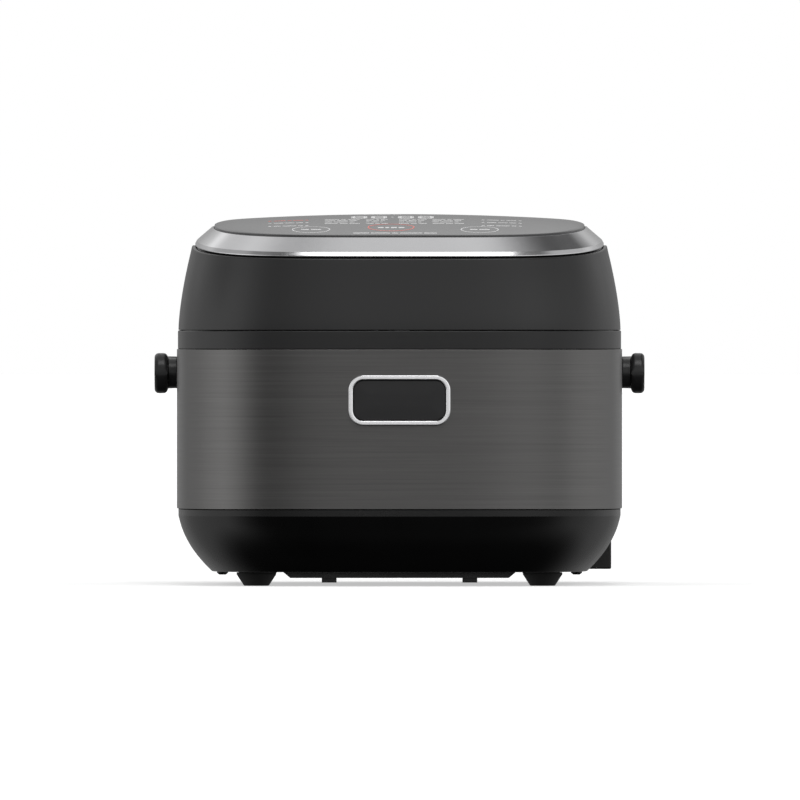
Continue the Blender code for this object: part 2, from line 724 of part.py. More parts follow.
def make_fan_and_boards():
    """The cooling fan, and the power board with its heat sink."""
    low = FOOT_HEIGHT + COVER_THICKNESS + GAP
    half = FAN_SIZE / 2
    bore = half - 0.002
    frame = plate(
        "fan_frame",
        [rounded_corners(half, half, 0.003, 2), round_points(bore, sides=28)],
        FAN_HEIGHT,
        BLACK_PLASTIC,
        (FAN_X, FAN_Y, low + FAN_HEIGHT / 2),
    )
    bridge_high = low + 0.0018
    bridge_start = (FAN_X - half + 0.001, FAN_Y - 0.008, low + 0.0002)
    bridge_end = (FAN_X + half - 0.001, FAN_Y + 0.008, bridge_high)
    cut(frame, boxes("fan_bridge", [(bridge_start, bridge_end)], None), "UNION")
    hub_low = bridge_high + SLACK
    hub_height = low + FAN_HEIGHT - 0.001 - hub_low
    hub = (FAN_X, FAN_Y, hub_low + hub_height / 2)
    rotor = rod("fan_rotor", 0.0110, hub_height, BLACK_PLASTIC, hub, sides=20)
    blades = bmesh.new()
    for number in range(FAN_BLADES):
        verts = add_box(blades, (0.0095, -0.0075, -0.0006), (bore - 0.0015, 0.0075, 0.0006))
        pitch = Matrix.Rotation(math.radians(28), 4, "X")
        spoke = Matrix.Rotation(2 * math.pi * number / FAN_BLADES, 4, "Z")
        bmesh.ops.transform(blades, matrix=spoke @ pitch, verts=verts)
    mesh = bpy.data.meshes.new("fan_blades")
    blades.to_mesh(mesh)
    blades.free()
    cut(rotor, put("fan_blades", mesh, None, rotor.location), "UNION")

    board_low = (-BOARD_HALF_WIDTH, BOARD_Y, BASE_TOP + 0.0018)
    board_high = (BOARD_HALF_WIDTH, BOARD_Y + BOARD_THICKNESS, BAND_TOP - 0.0152)
    board = boxes("power_board", [(board_low, board_high)], BOARD)
    components = []
    for height, width, tall, depth in ((0.070, 0.012, 0.022, 0.012), (0.105, 0.010, 0.014, 0.010)):
        low_corner = (0.042 - width, BOARD_Y + 0.001, height - tall / 2)
        high_corner = (0.042, BOARD_Y + depth, height + tall / 2)
        components.append((low_corner, high_corner))
    cut(board, boxes("board_components", components, None), "UNION")
    comb = [(0, 0)]
    for number in range(SINK_FINS):
        x = number * SINK_PITCH
        comb += [(x, SINK_DEPTH), (x + 0.002, SINK_DEPTH), (x + 0.002, SINK_ROOT)]
        if number < SINK_FINS - 1:
            comb.append((x + SINK_PITCH, SINK_ROOT))
    comb.append((comb[-1][0], 0))
    plate("heat_sink", [comb], 0.050, ALUMINIUM, (-0.040, BOARD_Y + BOARD_THICKNESS + GAP, 0.085))


def make_inlet():
    """The mains inlet low on the right-hand side, its socket open to the side, and its two pins."""
    low, high = inlet_corners()
    floor = FOOT_HEIGHT + GAP
    inlet = boxes("power_inlet", [((low[0], low[1], floor), high)], DARK_PLASTIC, 0.0010)
    middle_y = (low[1] + high[1]) / 2
    pocket_x = high[0] - SOCKET_DEPTH
    pocket_low = (pocket_x, middle_y - SOCKET_WIDTH / 2, floor + SOCKET_WALL)
    pocket_high = (high[0] + 0.01, middle_y + SOCKET_WIDTH / 2, high[2] - SOCKET_WALL)
    cut(inlet, boxes("socket_pocket", [(pocket_low, pocket_high)], None))
    middle_z = (pocket_low[2] + pocket_high[2]) / 2
    start = pocket_x + GAP
    for end, label in ((-1, "front"), (1, "rear")):
        y = middle_y + end * INLET_PIN_SPREAD
        pin_low = (start, y - 0.00075, middle_z - 0.003)
        pin_high = (start + INLET_PIN_LENGTH, y + 0.00075, middle_z + 0.003)
        boxes(f"inlet_pin_{label}", [(pin_low, pin_high)], BRASS)


# Lid


def lid_wall_inset(share):
    """How far in the lid's wall is, from its bottom edge (0) to its shoulder (1)."""
    return SHELL_INSET + LID_LEAN * share**1.55


def lid_square(inset, height, climb):
    return square(inset, height, climb, LID_REAR)


def make_lid():
    """The lid's dark shell, the satin ring on its rim, and the crowned touch glass inside the ring."""
    shares = (0, 0.25, 0.5, 0.75, 1)
    ledge_top = RING_TOP - 0.0034
    ledge_low = ledge_top - LID_LEDGE_THICKNESS
    bevel_inner = BEVEL_INSET + BEVEL_WIDTH
    outer = []
    inner = []
    for share in shares:
        inset = lid_wall_inset(share)
        outer.append(lid_square(inset, LID_BOTTOM + share * LID_WALL_HEIGHT, share))
        inner.insert(0, lid_square(inset + LID_WALL, LID_BOTTOM + share * (LID_WALL_HEIGHT - 0.003), share))
    shoulder = [
        lid_square(lid_wall_inset(1) + 0.0012, RIM_HEIGHT + 0.0006, 1),
        lid_square(BEVEL_INSET + 0.0007, RIM_HEIGHT - 0.0009, 1),
        lid_square(bevel_inner - 0.0006, ledge_top, 1),
        lid_square(bevel_inner + LID_LEDGE_WIDTH, ledge_top, 1),
        lid_square(bevel_inner + LID_LEDGE_WIDTH, ledge_low, 1),
        lid_square(bevel_inner, ledge_low, 1),
    ]
    shell = loft("lid_shell", outer + shoulder + inner, DARK_PLASTIC)
    room = 0.0008
    slots = []
    for side in (-1, 1):
        low_x, high_x = sorted((side * (ARM_INNER - room), side * (ARM_OUTER + room)))
        slot_low = (low_x, LID_REAR - 0.012, LID_BOTTOM + 0.003)
        slots.append((slot_low, (high_x, LID_REAR + 0.01, HINGE_Z + 0.007)))
    cut(shell, boxes("arm_slots", slots, None))

    loft(
        "chrome_ring",
        [
            lid_square(BEVEL_INSET, RING_FOOT, 1),
            lid_square(BEVEL_INSET, RING_FOOT + RING_LIP, 1),
            lid_square(bevel_inner - 0.0002, RING_TOP, 1),
            lid_square(bevel_inner + 0.0002, RING_TOP - 0.0004, 1),
            lid_square(bevel_inner + 0.0002, RING_TOP - 0.0024, 1),
            lid_square(BEVEL_INSET + RING_THICKNESS, RING_FOOT - 0.0003, 1),
        ],
        CHROME,
    )
    glass_inset = bevel_inner + 0.0002 + GAP
    low = GLASS_EDGE - GLASS_THICKNESS
    shares = (0.10, 0.45, 0.75, 0.92, 0.985)
    under = [dome(share, glass_inset, low) for share in shares] + [dome(1, glass_inset, low)]
    over = [dome(1, glass_inset, GLASS_EDGE - 0.0010)]
    over += [dome(share, glass_inset, GLASS_EDGE) for share in reversed(shares)]
    glass = loft("touch_glass", under + over, GLASS, "pointed")
    vent = rounded_corners(STEAM_HALF_WIDTH + SLACK, STEAM_HALF_DEPTH + SLACK, STEAM_CORNER + SLACK)
    cut(glass, plate("vent_opening", [vent], 0.05, None, (0, STEAM_Y, GLASS_EDGE + LID_RISE)))


def make_steam_vent():
    """The duct from the pot up through the lid, and the cap over it that pulls off."""
    cap_top = GLASS_EDGE + LID_RISE + GLASS_ROLL + GLASS_CROWN - 0.0012
    cap_low = cap_top - STEAM_CAP_THICKNESS
    cap = plate(
        "steam_cap",
        [rounded_corners(STEAM_HALF_WIDTH, STEAM_HALF_DEPTH, STEAM_CORNER)],
        cap_top - cap_low,
        DARK_PLASTIC,
        (0, STEAM_Y, (cap_top + cap_low) / 2),
    )
    slots = []
    for number in (-1, 0, 1):
        x = number * 0.009
        slot_low = (x - 0.0015, STEAM_Y - 0.009, cap_low - 0.01)
        slots.append((slot_low, (x + 0.0015, STEAM_Y + 0.009, cap_top + 0.01)))
    cut(cap, boxes("steam_slots", slots, None))
    duct_low = LID_BOTTOM + 2 * GAP + 0.0001
    duct = ring_profile(STEAM_DUCT - STEAM_DUCT_WALL, STEAM_DUCT, duct_low, cap_low - GAP)
    turned("steam_duct", duct, SILICONE, (0, STEAM_Y, 0), closed=True)


def make_lid_underside():
    """The lid's lower cover, the plate that closes the pot, its seal, the lid heater and the electronics."""
    cover_low = LID_BOTTOM + GAP
    cover_high = cover_low + LOWER_COVER_THICKNESS
    cover_inset = lid_wall_inset(0) + LID_WALL + GAP
    cover = loft(
        "lid_lower_cover",
        [lid_square(cover_inset, cover_low, 0), lid_square(cover_inset, cover_high, 0)],
        INNER_PLASTIC,
        "flat",
    )
    window_low = (-CATCH_WINDOW, -HALF_DEPTH + cover_inset + 0.0012, cover_low - 0.001)
    window_high = (CATCH_WINDOW, LATCH_PIVOT_Y + 0.0110, cover_high + 0.001)
    cut(cover, boxes("latch_window", [(window_low, window_high)], None))
    drill("duct_hole", [cover], [(0, STEAM_Y)], STEAM_DUCT + SLACK, cover_low - 0.001, cover_high + 0.001, 24)

    deck_top = COLLAR_TOP - DECK_DROP
    pot_rim = deck_top + GAP + POT_RIM_THICKNESS
    plate_radius = POT_RADIUS - 0.0045
    plate_high = cover_low - GAP
    plate_low = plate_high - 0.0010
    inner_plate = [(0, plate_high), (plate_radius, plate_high), (plate_radius, plate_low), (0, plate_low)]
    disc = turned("inner_lid_plate", inner_plate, ALUMINIUM, steps=32)
    holes = [(math.cos(turn) * 0.0060, STEAM_Y + math.sin(turn) * 0.0060) for turn in (0, 2.1, 4.2)]
    drill("steam_holes", [disc], holes, 0.0025, plate_low - 0.001, plate_high + 0.001)
    seal_inner = plate_radius + GAP
    seal_outer = POT_RADIUS + 0.0060
    seal_low = pot_rim + GAP
    seal = [(seal_outer, plate_high), (seal_outer, seal_low + 0.0004), (seal_outer - 0.002, seal_low)]
    seal += [(seal_inner + 0.001, seal_low), (seal_inner, seal_low + 0.0006), (seal_inner, plate_high)]
    turned("pot_seal", seal, SILICONE, steps=32, closed=True)

    heater_low = cover_high + GAP
    heater = ring_profile(HEATER_INNER, HEATER_OUTER, heater_low, heater_low + 0.0020)
    turned("lid_heater", heater, ALUMINIUM, closed=True)
    board_low = RIM_HEIGHT + 0.0055
    board_high = board_low + BOARD_THICKNESS
    boxes("control_board", [((-0.075, -0.112, board_low), (0.075, -0.025, board_high))], BOARD)
    module_low = board_high + GAP
    module = ((-0.036, -0.092, module_low), (0.036, -0.058, module_low + 0.0060))
    boxes("display_module", [module], INNER_PLASTIC)


def make_hinge():
    """The bracket on the deck, the lid's two arms, the pin through them all, its spring and its cover."""
    deck_top = COLLAR_TOP - DECK_DROP
    plate_low = deck_top + GAP
    plate_high = COLLAR_TOP - 0.0010
    front = HINGE_Y - 0.0090
    rear = HINGE_Y + 0.0080
    bracket_plate = ((-LUG_OUTER, front, plate_low), (LUG_OUTER, rear, plate_high))
    bracket = boxes("hinge_bracket", [bracket_plate], DARK_PLASTIC)
    bore = rod("pin_bore", PIN_BORE, 4 * LUG_OUTER, None, (0, HINGE_Y, HINGE_Z), ALONG_X)
    for side, label in ((-1, "left"), (1, "right")):
        lug = hinge_lug(f"lug_{label}", HINGE_BARREL, plate_high - 0.0008, LUG_OUTER - LUG_INNER)
        lug.location.x = side * (LUG_INNER + LUG_OUTER) / 2
        cut(bracket, lug, "UNION")
        arm = hinge_arm(f"hinge_arm_{label}")
        arm.location.x = side * (ARM_INNER + ARM_OUTER) / 2
        cut(arm, bore)
    cut(bracket, bore)
    rod("hinge_pin", PIN_RADIUS, 2 * LUG_OUTER + 0.001, SPRING_STEEL, (0, HINGE_Y, HINGE_Z), ALONG_X)
    coil("hinge_spring", 0.0050, 0.0009, 0.030, 5, (-0.015, HINGE_Y, HINGE_Z), ALONG_X)
    cover_half = ARM_INNER - 0.0010
    arc = [math.pi * step / 8 for step in range(9)]
    inner = HINGE_BARREL - 0.0016
    outside = [(HINGE_BARREL * math.cos(turn), HINGE_BARREL * math.sin(turn)) for turn in arc]
    inside = [(inner * math.cos(turn), inner * math.sin(turn)) for turn in arc]
    foot = plate_high + GAP - HINGE_Z
    skin = [(outside[0][0], foot), *outside, (outside[-1][0], foot)]
    skin += [(inside[-1][0], foot), *reversed(inside), (inside[0][0], foot)]
    plate("hinge_cover", [skin], 2 * cover_half, DARK_PLASTIC, (0, HINGE_Y, HINGE_Z), FACING_X)


def hinge_lug(name, radius, foot, width):
    """A round-topped ear about the pin that stands on its foot."""
    arc = [math.pi * step / 10 for step in range(11)]
    outline = [(radius * math.cos(turn), radius * math.sin(turn)) for turn in arc]
    outline += [(-radius + 0.0012, foot - HINGE_Z), (radius - 0.0022, foot - HINGE_Z)]
    return plate(name, [outline], width, None, (0, HINGE_Y, HINGE_Z), FACING_X)


def hinge_arm(name):
    """The lid's arm: a barrel round the pin, and a tongue that runs forward over the lid's lower cover."""
    radius = HINGE_BARREL - 0.0008
    arc = [math.radians(-150 + 300 * step / 14) for step in range(15)]
    outline = [(radius * math.cos(turn), radius * math.sin(turn)) for turn in arc]
    outline += [(-ARM_TONGUE, radius * math.sin(arc[-1])), (-ARM_TONGUE, radius * math.sin(arc[0]))]
    return plate(name, [outline], ARM_OUTER - ARM_INNER, INNER_PLASTIC, (0, HINGE_Y, HINGE_Z), FACING_X)


# Latch and release button


def make_latch():
    """The lever that holds the lid, on its pin in a bracket, its spring, and the catch on the lid."""
    y = LATCH_PIVOT_Y
    z = LATCH_PIVOT_Z
    hook_low = COLLAR_TOP + 0.0006
    lever = [
        (y - 0.0022, BUTTON_HEIGHT - 0.0070),
        (y + 0.0018, BUTTON_HEIGHT - 0.0070),
        (y + 0.0030, z - 0.0060),
        (y + 0.0050, z),
        (y + 0.0018, z + 0.0080),
        (y + 0.0018, hook_low),
        (y + 0.0064, hook_low),
        (y + 0.0064, hook_low + 0.0014),
        (y + 0.0020, hook_low + 0.0042),
        (y - 0.0022, hook_low + 0.0042),
        (y - 0.0022, z + 0.0080),
        (y - 0.0040, z),
        (y - 0.0032, z - 0.0060),
        (y - 0.0022, z - 0.0100),
    ]
    lever = [(point_y - y, point_z - z) for point_y, point_z in lever]
    pivot_hole = round_points(0.0023, sides=12)
    plate("latch_lever", [lever, pivot_hole], 2 * LATCH_HALF_WIDTH, STEEL, (0, y, z), FACING_X)
    ear = 0.0110
    rod("latch_pin", 0.0020, 2 * ear + 0.0060, SPRING_STEEL, (0, y, z), ALONG_X, sides=12)
    spring_start = LATCH_HALF_WIDTH + GAP
    coil("latch_spring", 0.0034, 0.0005, ear - GAP - spring_start, 3, (spring_start, y, z), ALONG_X)
    rear = y + 0.0083
    bracket = boxes(
        "latch_bracket",
        [((-ear - 0.002, rear, z - 0.010), (ear + 0.002, rear + 0.0016, z + 0.010))],
        STEEL,
    )
    ears = []
    for side in (-1, 1):
        low_x, high_x = sorted((side * ear, side * (ear + 0.002)))
        ears.append(((low_x, y - 0.0043, z - 0.0099), (high_x, rear + 0.0010, z + 0.0099)))
    cut(bracket, boxes("latch_ears", ears, None), "UNION")
    cut(bracket, rod("latch_pin_bore", 0.0023, 0.060, None, (0, y, z), ALONG_X, sides=12))

    cover_high = LID_BOTTOM + GAP + LOWER_COVER_THICKNESS
    flange_low = cover_high + GAP
    bar_low = COLLAR_TOP - 0.0028
    outline = [
        (-0.0220, flange_low + 0.0020),
        (-0.0220, flange_low),
        (-0.0150, flange_low),
        (-0.0150, bar_low),
        (0.0150, bar_low),
        (0.0150, flange_low),
        (0.0220, flange_low),
        (0.0220, flange_low + 0.0020),
        (0.0130, flange_low + 0.0020),
        (0.0130, COLLAR_TOP),
        (-0.0130, COLLAR_TOP),
        (-0.0130, flange_low + 0.0020),
    ]
    plate("lid_catch", [outline], 0.0036, STEEL, (0, y + 0.0044, 0), FACING_Y)


def make_release_button():
    """The satin frame in the steel wrap, the cup behind it, the button that slides in it and its spring."""
    opening_x = BUTTON_WIDTH / 2 + BUTTON_ROOM
    opening_z = BUTTON_TALL / 2 + BUTTON_ROOM
    corner = FRAME_CORNER - FRAME_BORDER
    opening = rounded_corners(opening_x, opening_z, corner + BUTTON_ROOM)
    front = rounded_corners(BUTTON_WIDTH / 2 + FRAME_BORDER, BUTTON_TALL / 2 + FRAME_BORDER, FRAME_CORNER)
    flange = FRAME_PROUD - GAP
    frame = plate(
        "button_frame",
        [front, opening],
        flange,
        CHROME,
        (0, -HALF_DEPTH - FRAME_PROUD + flange / 2, BUTTON_HEIGHT),
        FACING_Y,
    )
    neck_x = opening_x + FRAME_NECK_WALL
    neck_z = opening_z + FRAME_NECK_WALL
    neck_corner = corner + BUTTON_ROOM + FRAME_NECK_WALL
    neck_front = -HALF_DEPTH - GAP - 0.0008
    neck = plate(
        "frame_neck",
        [rounded_corners(neck_x, neck_z, neck_corner), opening],
        FRAME_NECK_LENGTH,
        None,
        (0, neck_front + FRAME_NECK_LENGTH / 2, BUTTON_HEIGHT),
        FACING_Y,
    )
    cut(frame, neck, "UNION")

    cup_front = -HALF_DEPTH + BAND_WALL + 2 * SLACK
    cup_rear = -HALF_DEPTH + CUP_DEPTH
    cup_x = neck_x + GAP
    cup_z = neck_z + GAP
    cup_corner = neck_corner + GAP
    inner_outline = rounded_corners(cup_x, cup_z, cup_corner)
    outer_outline = rounded_corners(cup_x + CUP_WALL, cup_z + CUP_WALL, cup_corner + CUP_WALL)
    cup = plate(
        "button_housing",
        [outer_outline, inner_outline],
        cup_rear - cup_front,
        BLACK_PLASTIC,
        (0, (cup_rear + cup_front) / 2, BUTTON_HEIGHT),
        FACING_Y,
    )
    hole = round_points(STEM_RADIUS + SLACK)
    half_wall = CUP_WALL / 2
    floor_outline = rounded_corners(cup_x + half_wall, cup_z + half_wall, cup_corner + half_wall)
    floor_place = (0, cup_rear - half_wall, BUTTON_HEIGHT)
    bottom = plate("cup_floor", [floor_outline, hole], CUP_WALL, None, floor_place, FACING_Y)
    cut(cup, bottom, "UNION")

    face = -HALF_DEPTH - FRAME_PROUD + 0.0008
    button = plate(
        "release_button",
        [rounded_corners(BUTTON_WIDTH / 2, BUTTON_TALL / 2, corner)],
        BUTTON_THICKNESS,
        BUTTON_PLASTIC,
        (0, face + BUTTON_THICKNESS / 2, BUTTON_HEIGHT),
        FACING_Y,
    )
    stem_end = LATCH_PIVOT_Y - 0.0022 - 2 * GAP
    back = face + BUTTON_THICKNESS
    stem_length = stem_end - back + 0.001
    stem = rod(
        "button_stem",
        STEM_RADIUS,
        stem_length,
        None,
        (0, stem_end - stem_length / 2, BUTTON_HEIGHT),
        FACING_Y,
        sides=12,
    )
    cut(button, stem, "UNION")
    spring_rear = cup_rear - CUP_WALL - GAP
    spring_length = spring_rear - back - GAP
    coil("button_spring", 0.0050, 0.0004, spring_length, 3, (0, spring_rear, BUTTON_HEIGHT), FACING_Y)


# Carry handle


def make_handle():
    """The U-shaped handle, folded back round the rear of the body, and its two pivots."""
    inner_x = HALF_WIDTH + HANDLE_SIDE_ROOM
    outer_x = inner_x + HANDLE_THICKNESS
    outer_y = HANDLE_REACH + HANDLE_GRIP_THICKNESS / 2
    inner_y = HANDLE_REACH - HANDLE_GRIP_THICKNESS / 2
    nose = -HANDLE_SECTION / 2
    quarter = [math.pi / 2 * step / 5 for step in range(6)]
    inner_corner = HANDLE_CORNER - HANDLE_THICKNESS

    def corner(x, y, radius, side):
        points = []
        for turn in quarter:
            across = x - radius + radius * math.cos(turn)
            points.append((side * across, y - radius + radius * math.sin(turn)))
        return points

    outer = [(outer_x, nose), *corner(outer_x, outer_y, HANDLE_CORNER, 1)]
    outer += [*reversed(corner(outer_x, outer_y, HANDLE_CORNER, -1)), (-outer_x, nose)]
    inner = [(-inner_x, nose), *corner(inner_x, inner_y, inner_corner, -1)]
    inner += [*reversed(corner(inner_x, inner_y, inner_corner, 1)), (inner_x, nose)]
    handle = plate(
        "carry_handle", [outer + inner], HANDLE_SECTION, DARK_PLASTIC, (0, 0, HANDLE_PIVOT_HEIGHT)
    )
    radius = HANDLE_SECTION / 2
    nose_arc = [math.pi / 2 + math.pi * step / 10 for step in range(11)]
    side_view = [(radius * math.cos(turn), radius * math.sin(turn)) for turn in nose_arc]
    grip_half_height = HANDLE_GRIP_SHARE * radius
    side_view += [(outer_y + 0.01, -grip_half_height), (outer_y + 0.01, grip_half_height)]
    trim = plate("handle_side_view", [side_view], 4 * HALF_WIDTH, None, (0, 0, HANDLE_PIVOT_HEIGHT), FACING_X)
    cut(handle, trim, "INTERSECT")
    bore_end = inner_x + 0.0057
    bore = rod("handle_bore", PIVOT_PIN + GAP, 2 * bore_end, None, (0, 0, HANDLE_PIVOT_HEIGHT), ALONG_X)
    cut(handle, bore)

    for side, label in ((-1, "left"), (1, "right")):
        boss_low = HALF_WIDTH + GAP
        boss_high = inner_x - GAP
        neck_low = HALF_WIDTH - BAND_WALL - GAP
        screw_bore = 0.0019
        pivot = [(PIVOT_PIN, bore_end - GAP), (PIVOT_PIN, boss_high), (PIVOT_BOSS, boss_high)]
        pivot += [(PIVOT_BOSS, boss_low), (PIVOT_NECK, boss_low), (PIVOT_NECK, neck_low)]
        pivot += [(screw_bore, neck_low), (screw_bore, bore_end - 0.002), (0, bore_end - 0.002)]
        pivot += [(0, bore_end - GAP)]
        facing = (0, side * math.pi / 2, 0)
        place = (0, 0, HANDLE_PIVOT_HEIGHT)
        turned(f"handle_pivot_{label}", pivot, DARK_PLASTIC, place, facing, steps=20, closed=True)
        head_top = neck_low - GAP
        screw = [(0, bore_end - 0.003), (0.0016, bore_end - 0.003), (0.0016, head_top), (0.0078, head_top)]
        screw += [(0.0078, head_top - 0.0012), (0.0045, head_top - 0.0024), (0, head_top - 0.0024)]
        turned(f"pivot_screw_{label}", screw, SPRING_STEEL, place, facing, steps=12)


make_base()
make_body()
make_pot_and_coil()
make_fan_and_boards()
make_inlet()
make_lid()
make_steam_vent()
make_lid_underside()
make_hinge()
make_latch()
make_release_button()
make_handle()
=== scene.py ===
"""Finished surfaces, printed panel, floor, light and camera for the square-plan rice cooker.

Metres, +Z up, front towards -Y. Outlines are drawn about the body's own centre line, and moved into
place at the end.
"""

import math

import bmesh
import bpy
from bpy.props import FloatProperty, FloatVectorProperty, PointerProperty
from mathutils import Matrix, Vector


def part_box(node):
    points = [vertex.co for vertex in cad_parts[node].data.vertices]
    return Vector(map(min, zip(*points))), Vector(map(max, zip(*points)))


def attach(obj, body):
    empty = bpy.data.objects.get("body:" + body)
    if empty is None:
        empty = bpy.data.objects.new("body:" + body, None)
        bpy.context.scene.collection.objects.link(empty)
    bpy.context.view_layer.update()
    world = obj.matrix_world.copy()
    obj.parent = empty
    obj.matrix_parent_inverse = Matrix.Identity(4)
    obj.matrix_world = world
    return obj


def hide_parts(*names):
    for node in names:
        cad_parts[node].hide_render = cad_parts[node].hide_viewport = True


bl_info = {
    "name": "Rice Cooker Finish",
    "version": (1, 0, 0),
    "blender": (4, 5, 0),
    "location": "3D View > Sidebar > Rice Cooker",
    "description": "Builds the finished rice cooker around its packed frame",
    "category": "Object",
}

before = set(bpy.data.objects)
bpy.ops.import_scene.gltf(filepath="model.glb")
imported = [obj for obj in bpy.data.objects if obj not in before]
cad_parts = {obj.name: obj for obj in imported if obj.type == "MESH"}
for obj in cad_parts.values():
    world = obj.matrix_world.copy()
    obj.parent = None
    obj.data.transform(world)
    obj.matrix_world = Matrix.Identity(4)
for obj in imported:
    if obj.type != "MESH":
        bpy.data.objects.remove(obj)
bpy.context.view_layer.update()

# The body's plan and the heights of its stack, as the frame has them
WRAP_LOW, WRAP_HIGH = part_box("steel_wrap")
BASE_LOW, BASE_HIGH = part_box("base_housing")
LID_LOW, LID_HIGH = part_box("lid_shell")
RING_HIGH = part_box("chrome_ring")[1]
HALF_WIDTH = WRAP_HIGH.x
HALF_DEPTH = (WRAP_HIGH.y - WRAP_LOW.y) / 2
MIDDLE_Y = (WRAP_HIGH.y + WRAP_LOW.y) / 2
BASE_TOP = BASE_HIGH.z
FOOT_HEIGHT = BASE_LOW.z
BAND_TOP = WRAP_HIGH.z
COLLAR_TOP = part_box("top_frame")[1].z
LID_BOTTOM = LID_LOW.z
LATCH_Y = sum(corner.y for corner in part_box("latch_pin")) / 2 - MIDDLE_Y

# The shapes of the walls, which the boxes don't give
SQUARENESS = 4.8  # |x/a|^n + |y/b|^n = 1
BODY_INSET = 0.0009  # the base and the lid stand this far inside the steel
BASE_TAPER = 0.0203
BASE_LEDGE = 0.0040
BASE_WALL = 0.0024
COVER_THICKNESS = 0.0025
COLLAR_INSET = 0.0006
COLLAR_WALL = 0.0024
DECK_DROP = 0.0047
DECK_THICKNESS = 0.0025
BAND_WALL = 0.0008
LID_REAR = LID_HIGH.y - MIDDLE_Y + BODY_INSET
LID_LEAN = 0.0083
LID_WALL = 0.0023
LID_WALL_HEIGHT = 0.0417
LID_RISE = 0.0093
BEVEL_INSET = HALF_WIDTH - RING_HIGH.x
BEVEL_WIDTH = 0.0110
GLASS_CROWN = 0.0038
GLASS_ROLL = 0.0022
GLASS_STAND = 0.0012  # of the glass above the ring
GLASS_THICKNESS = 0.0040
GAP = 0.0003
SLACK = 0.0006
CATCH_WINDOW = 0.0165
BEZEL_CORNER = 0.0090
BEZEL_LAP = 0.0012  # of the button's frame over the edge of its hole in the steel
PIVOT_BORE = 0.0070
VENT_CORNER = 0.0140
POT_FLANGE = 0.0080
POT_WALL = 0.0020
POT_CORNER = 0.0350
HANDLE_THICKNESS = 0.0080
GRIP_THICKNESS = 0.0090
HANDLE_BEND = 0.0380
GRIP_SHARE = 0.78
RIM_HEIGHT = LID_BOTTOM + LID_WALL_HEIGHT
RING_FOOT = RIM_HEIGHT + 0.0014
RING_TOP = RING_HIGH.z - LID_RISE
GLASS_INSET = BEVEL_INSET + BEVEL_WIDTH + 0.0002 + GAP

OUTLINE_STEPS = 192
CORNER_STEPS = 10
ROUND_STEPS = 72

# Camera: a very long lens, a hair above level
VIEW_WIDTH = 0.4824
VIEW_HEIGHT = 0.1125
VIEW_DISTANCE = 22.0
VIEW_TILT = math.radians(0.22)
SENSOR_WIDTH = 36.0


# Outlines and levels


def own_box(node):
    """A CAD node's low and high corners, about the body's own centre line."""
    return [corner - Vector((0, MIDDLE_Y, 0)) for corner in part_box(node)]


def own_middle(node):
    low, high = own_box(node)
    return (low + high) / 2


def rim_rise(y):
    """How far the lid's rim has climbed at this depth behind the body's centre line."""
    along = min(max((y + HALF_DEPTH) / HALF_DEPTH, 0), 1)
    return LID_RISE * (1 - (1 - along) ** 2)


def turns(count):
    return [2 * math.pi * number / count for number in range(count)]


def square_ring(inset, height, climb=0.0, rear=HALF_DEPTH, share=1.0):
    """A level on the body's outline, drawn in by the inset, and shrunk to a share of its size."""
    ring = []
    for turn in turns(OUTLINE_STEPS):
        across = math.cos(turn)
        along = math.sin(turn)
        half_depth = (rear if along > 0 else HALF_DEPTH) - inset
        reach = abs(across / (HALF_WIDTH - inset)) ** SQUARENESS + abs(along / half_depth) ** SQUARENESS
        reach = share * reach ** (-1 / SQUARENESS)
        y = reach * along
        ring.append(Vector((reach * across, y, height + climb * rim_rise(y))))
    return ring


def lid_ring(inset, height, climb=1.0):
    return square_ring(inset, height, climb, LID_REAR)


def round_ring(radius, height, count=OUTLINE_STEPS):
    return [Vector((radius * math.cos(turn), radius * math.sin(turn), height)) for turn in turns(count)]


def plate_ring(half_width, half_height, corner, level=0.0, steps=CORNER_STEPS):
    """A level on a rectangle with round corners."""
    ring = []
    for quarter in range(4):
        side = 1 if quarter in (0, 3) else -1
        end = 1 if quarter in (0, 1) else -1
        for step in range(steps + 1):
            angle = (quarter + step / steps) * math.pi / 2
            x = side * (half_width - corner) + corner * math.cos(angle)
            y = end * (half_height - corner) + corner * math.sin(angle)
            ring.append(Vector((x, y, level)))
    return ring


def softened(corners, closed=True, steps=5):
    """A path whose corners are rounded. Each corner is (across, height, radius)."""
    path = []
    for number, (across, height, radius) in enumerate(corners):
        here = Vector((across, height))
        is_end = not closed and number in (0, len(corners) - 1)
        if radius == 0 or is_end:
            path.append(here)
            continue
        before = Vector(corners[number - 1][:2]) - here
        after = Vector(corners[(number + 1) % len(corners)][:2]) - here
        half_angle = before.angle(after) / 2
        setback = min(radius / math.tan(half_angle), 0.49 * before.length, 0.49 * after.length)
        start = here + before.normalized() * setback
        end = here + after.normalized() * setback
        for step in range(steps + 1):
            along = step / steps
            path.append(start.lerp(here, along).lerp(here.lerp(end, along), along))
    return path


# Shapes


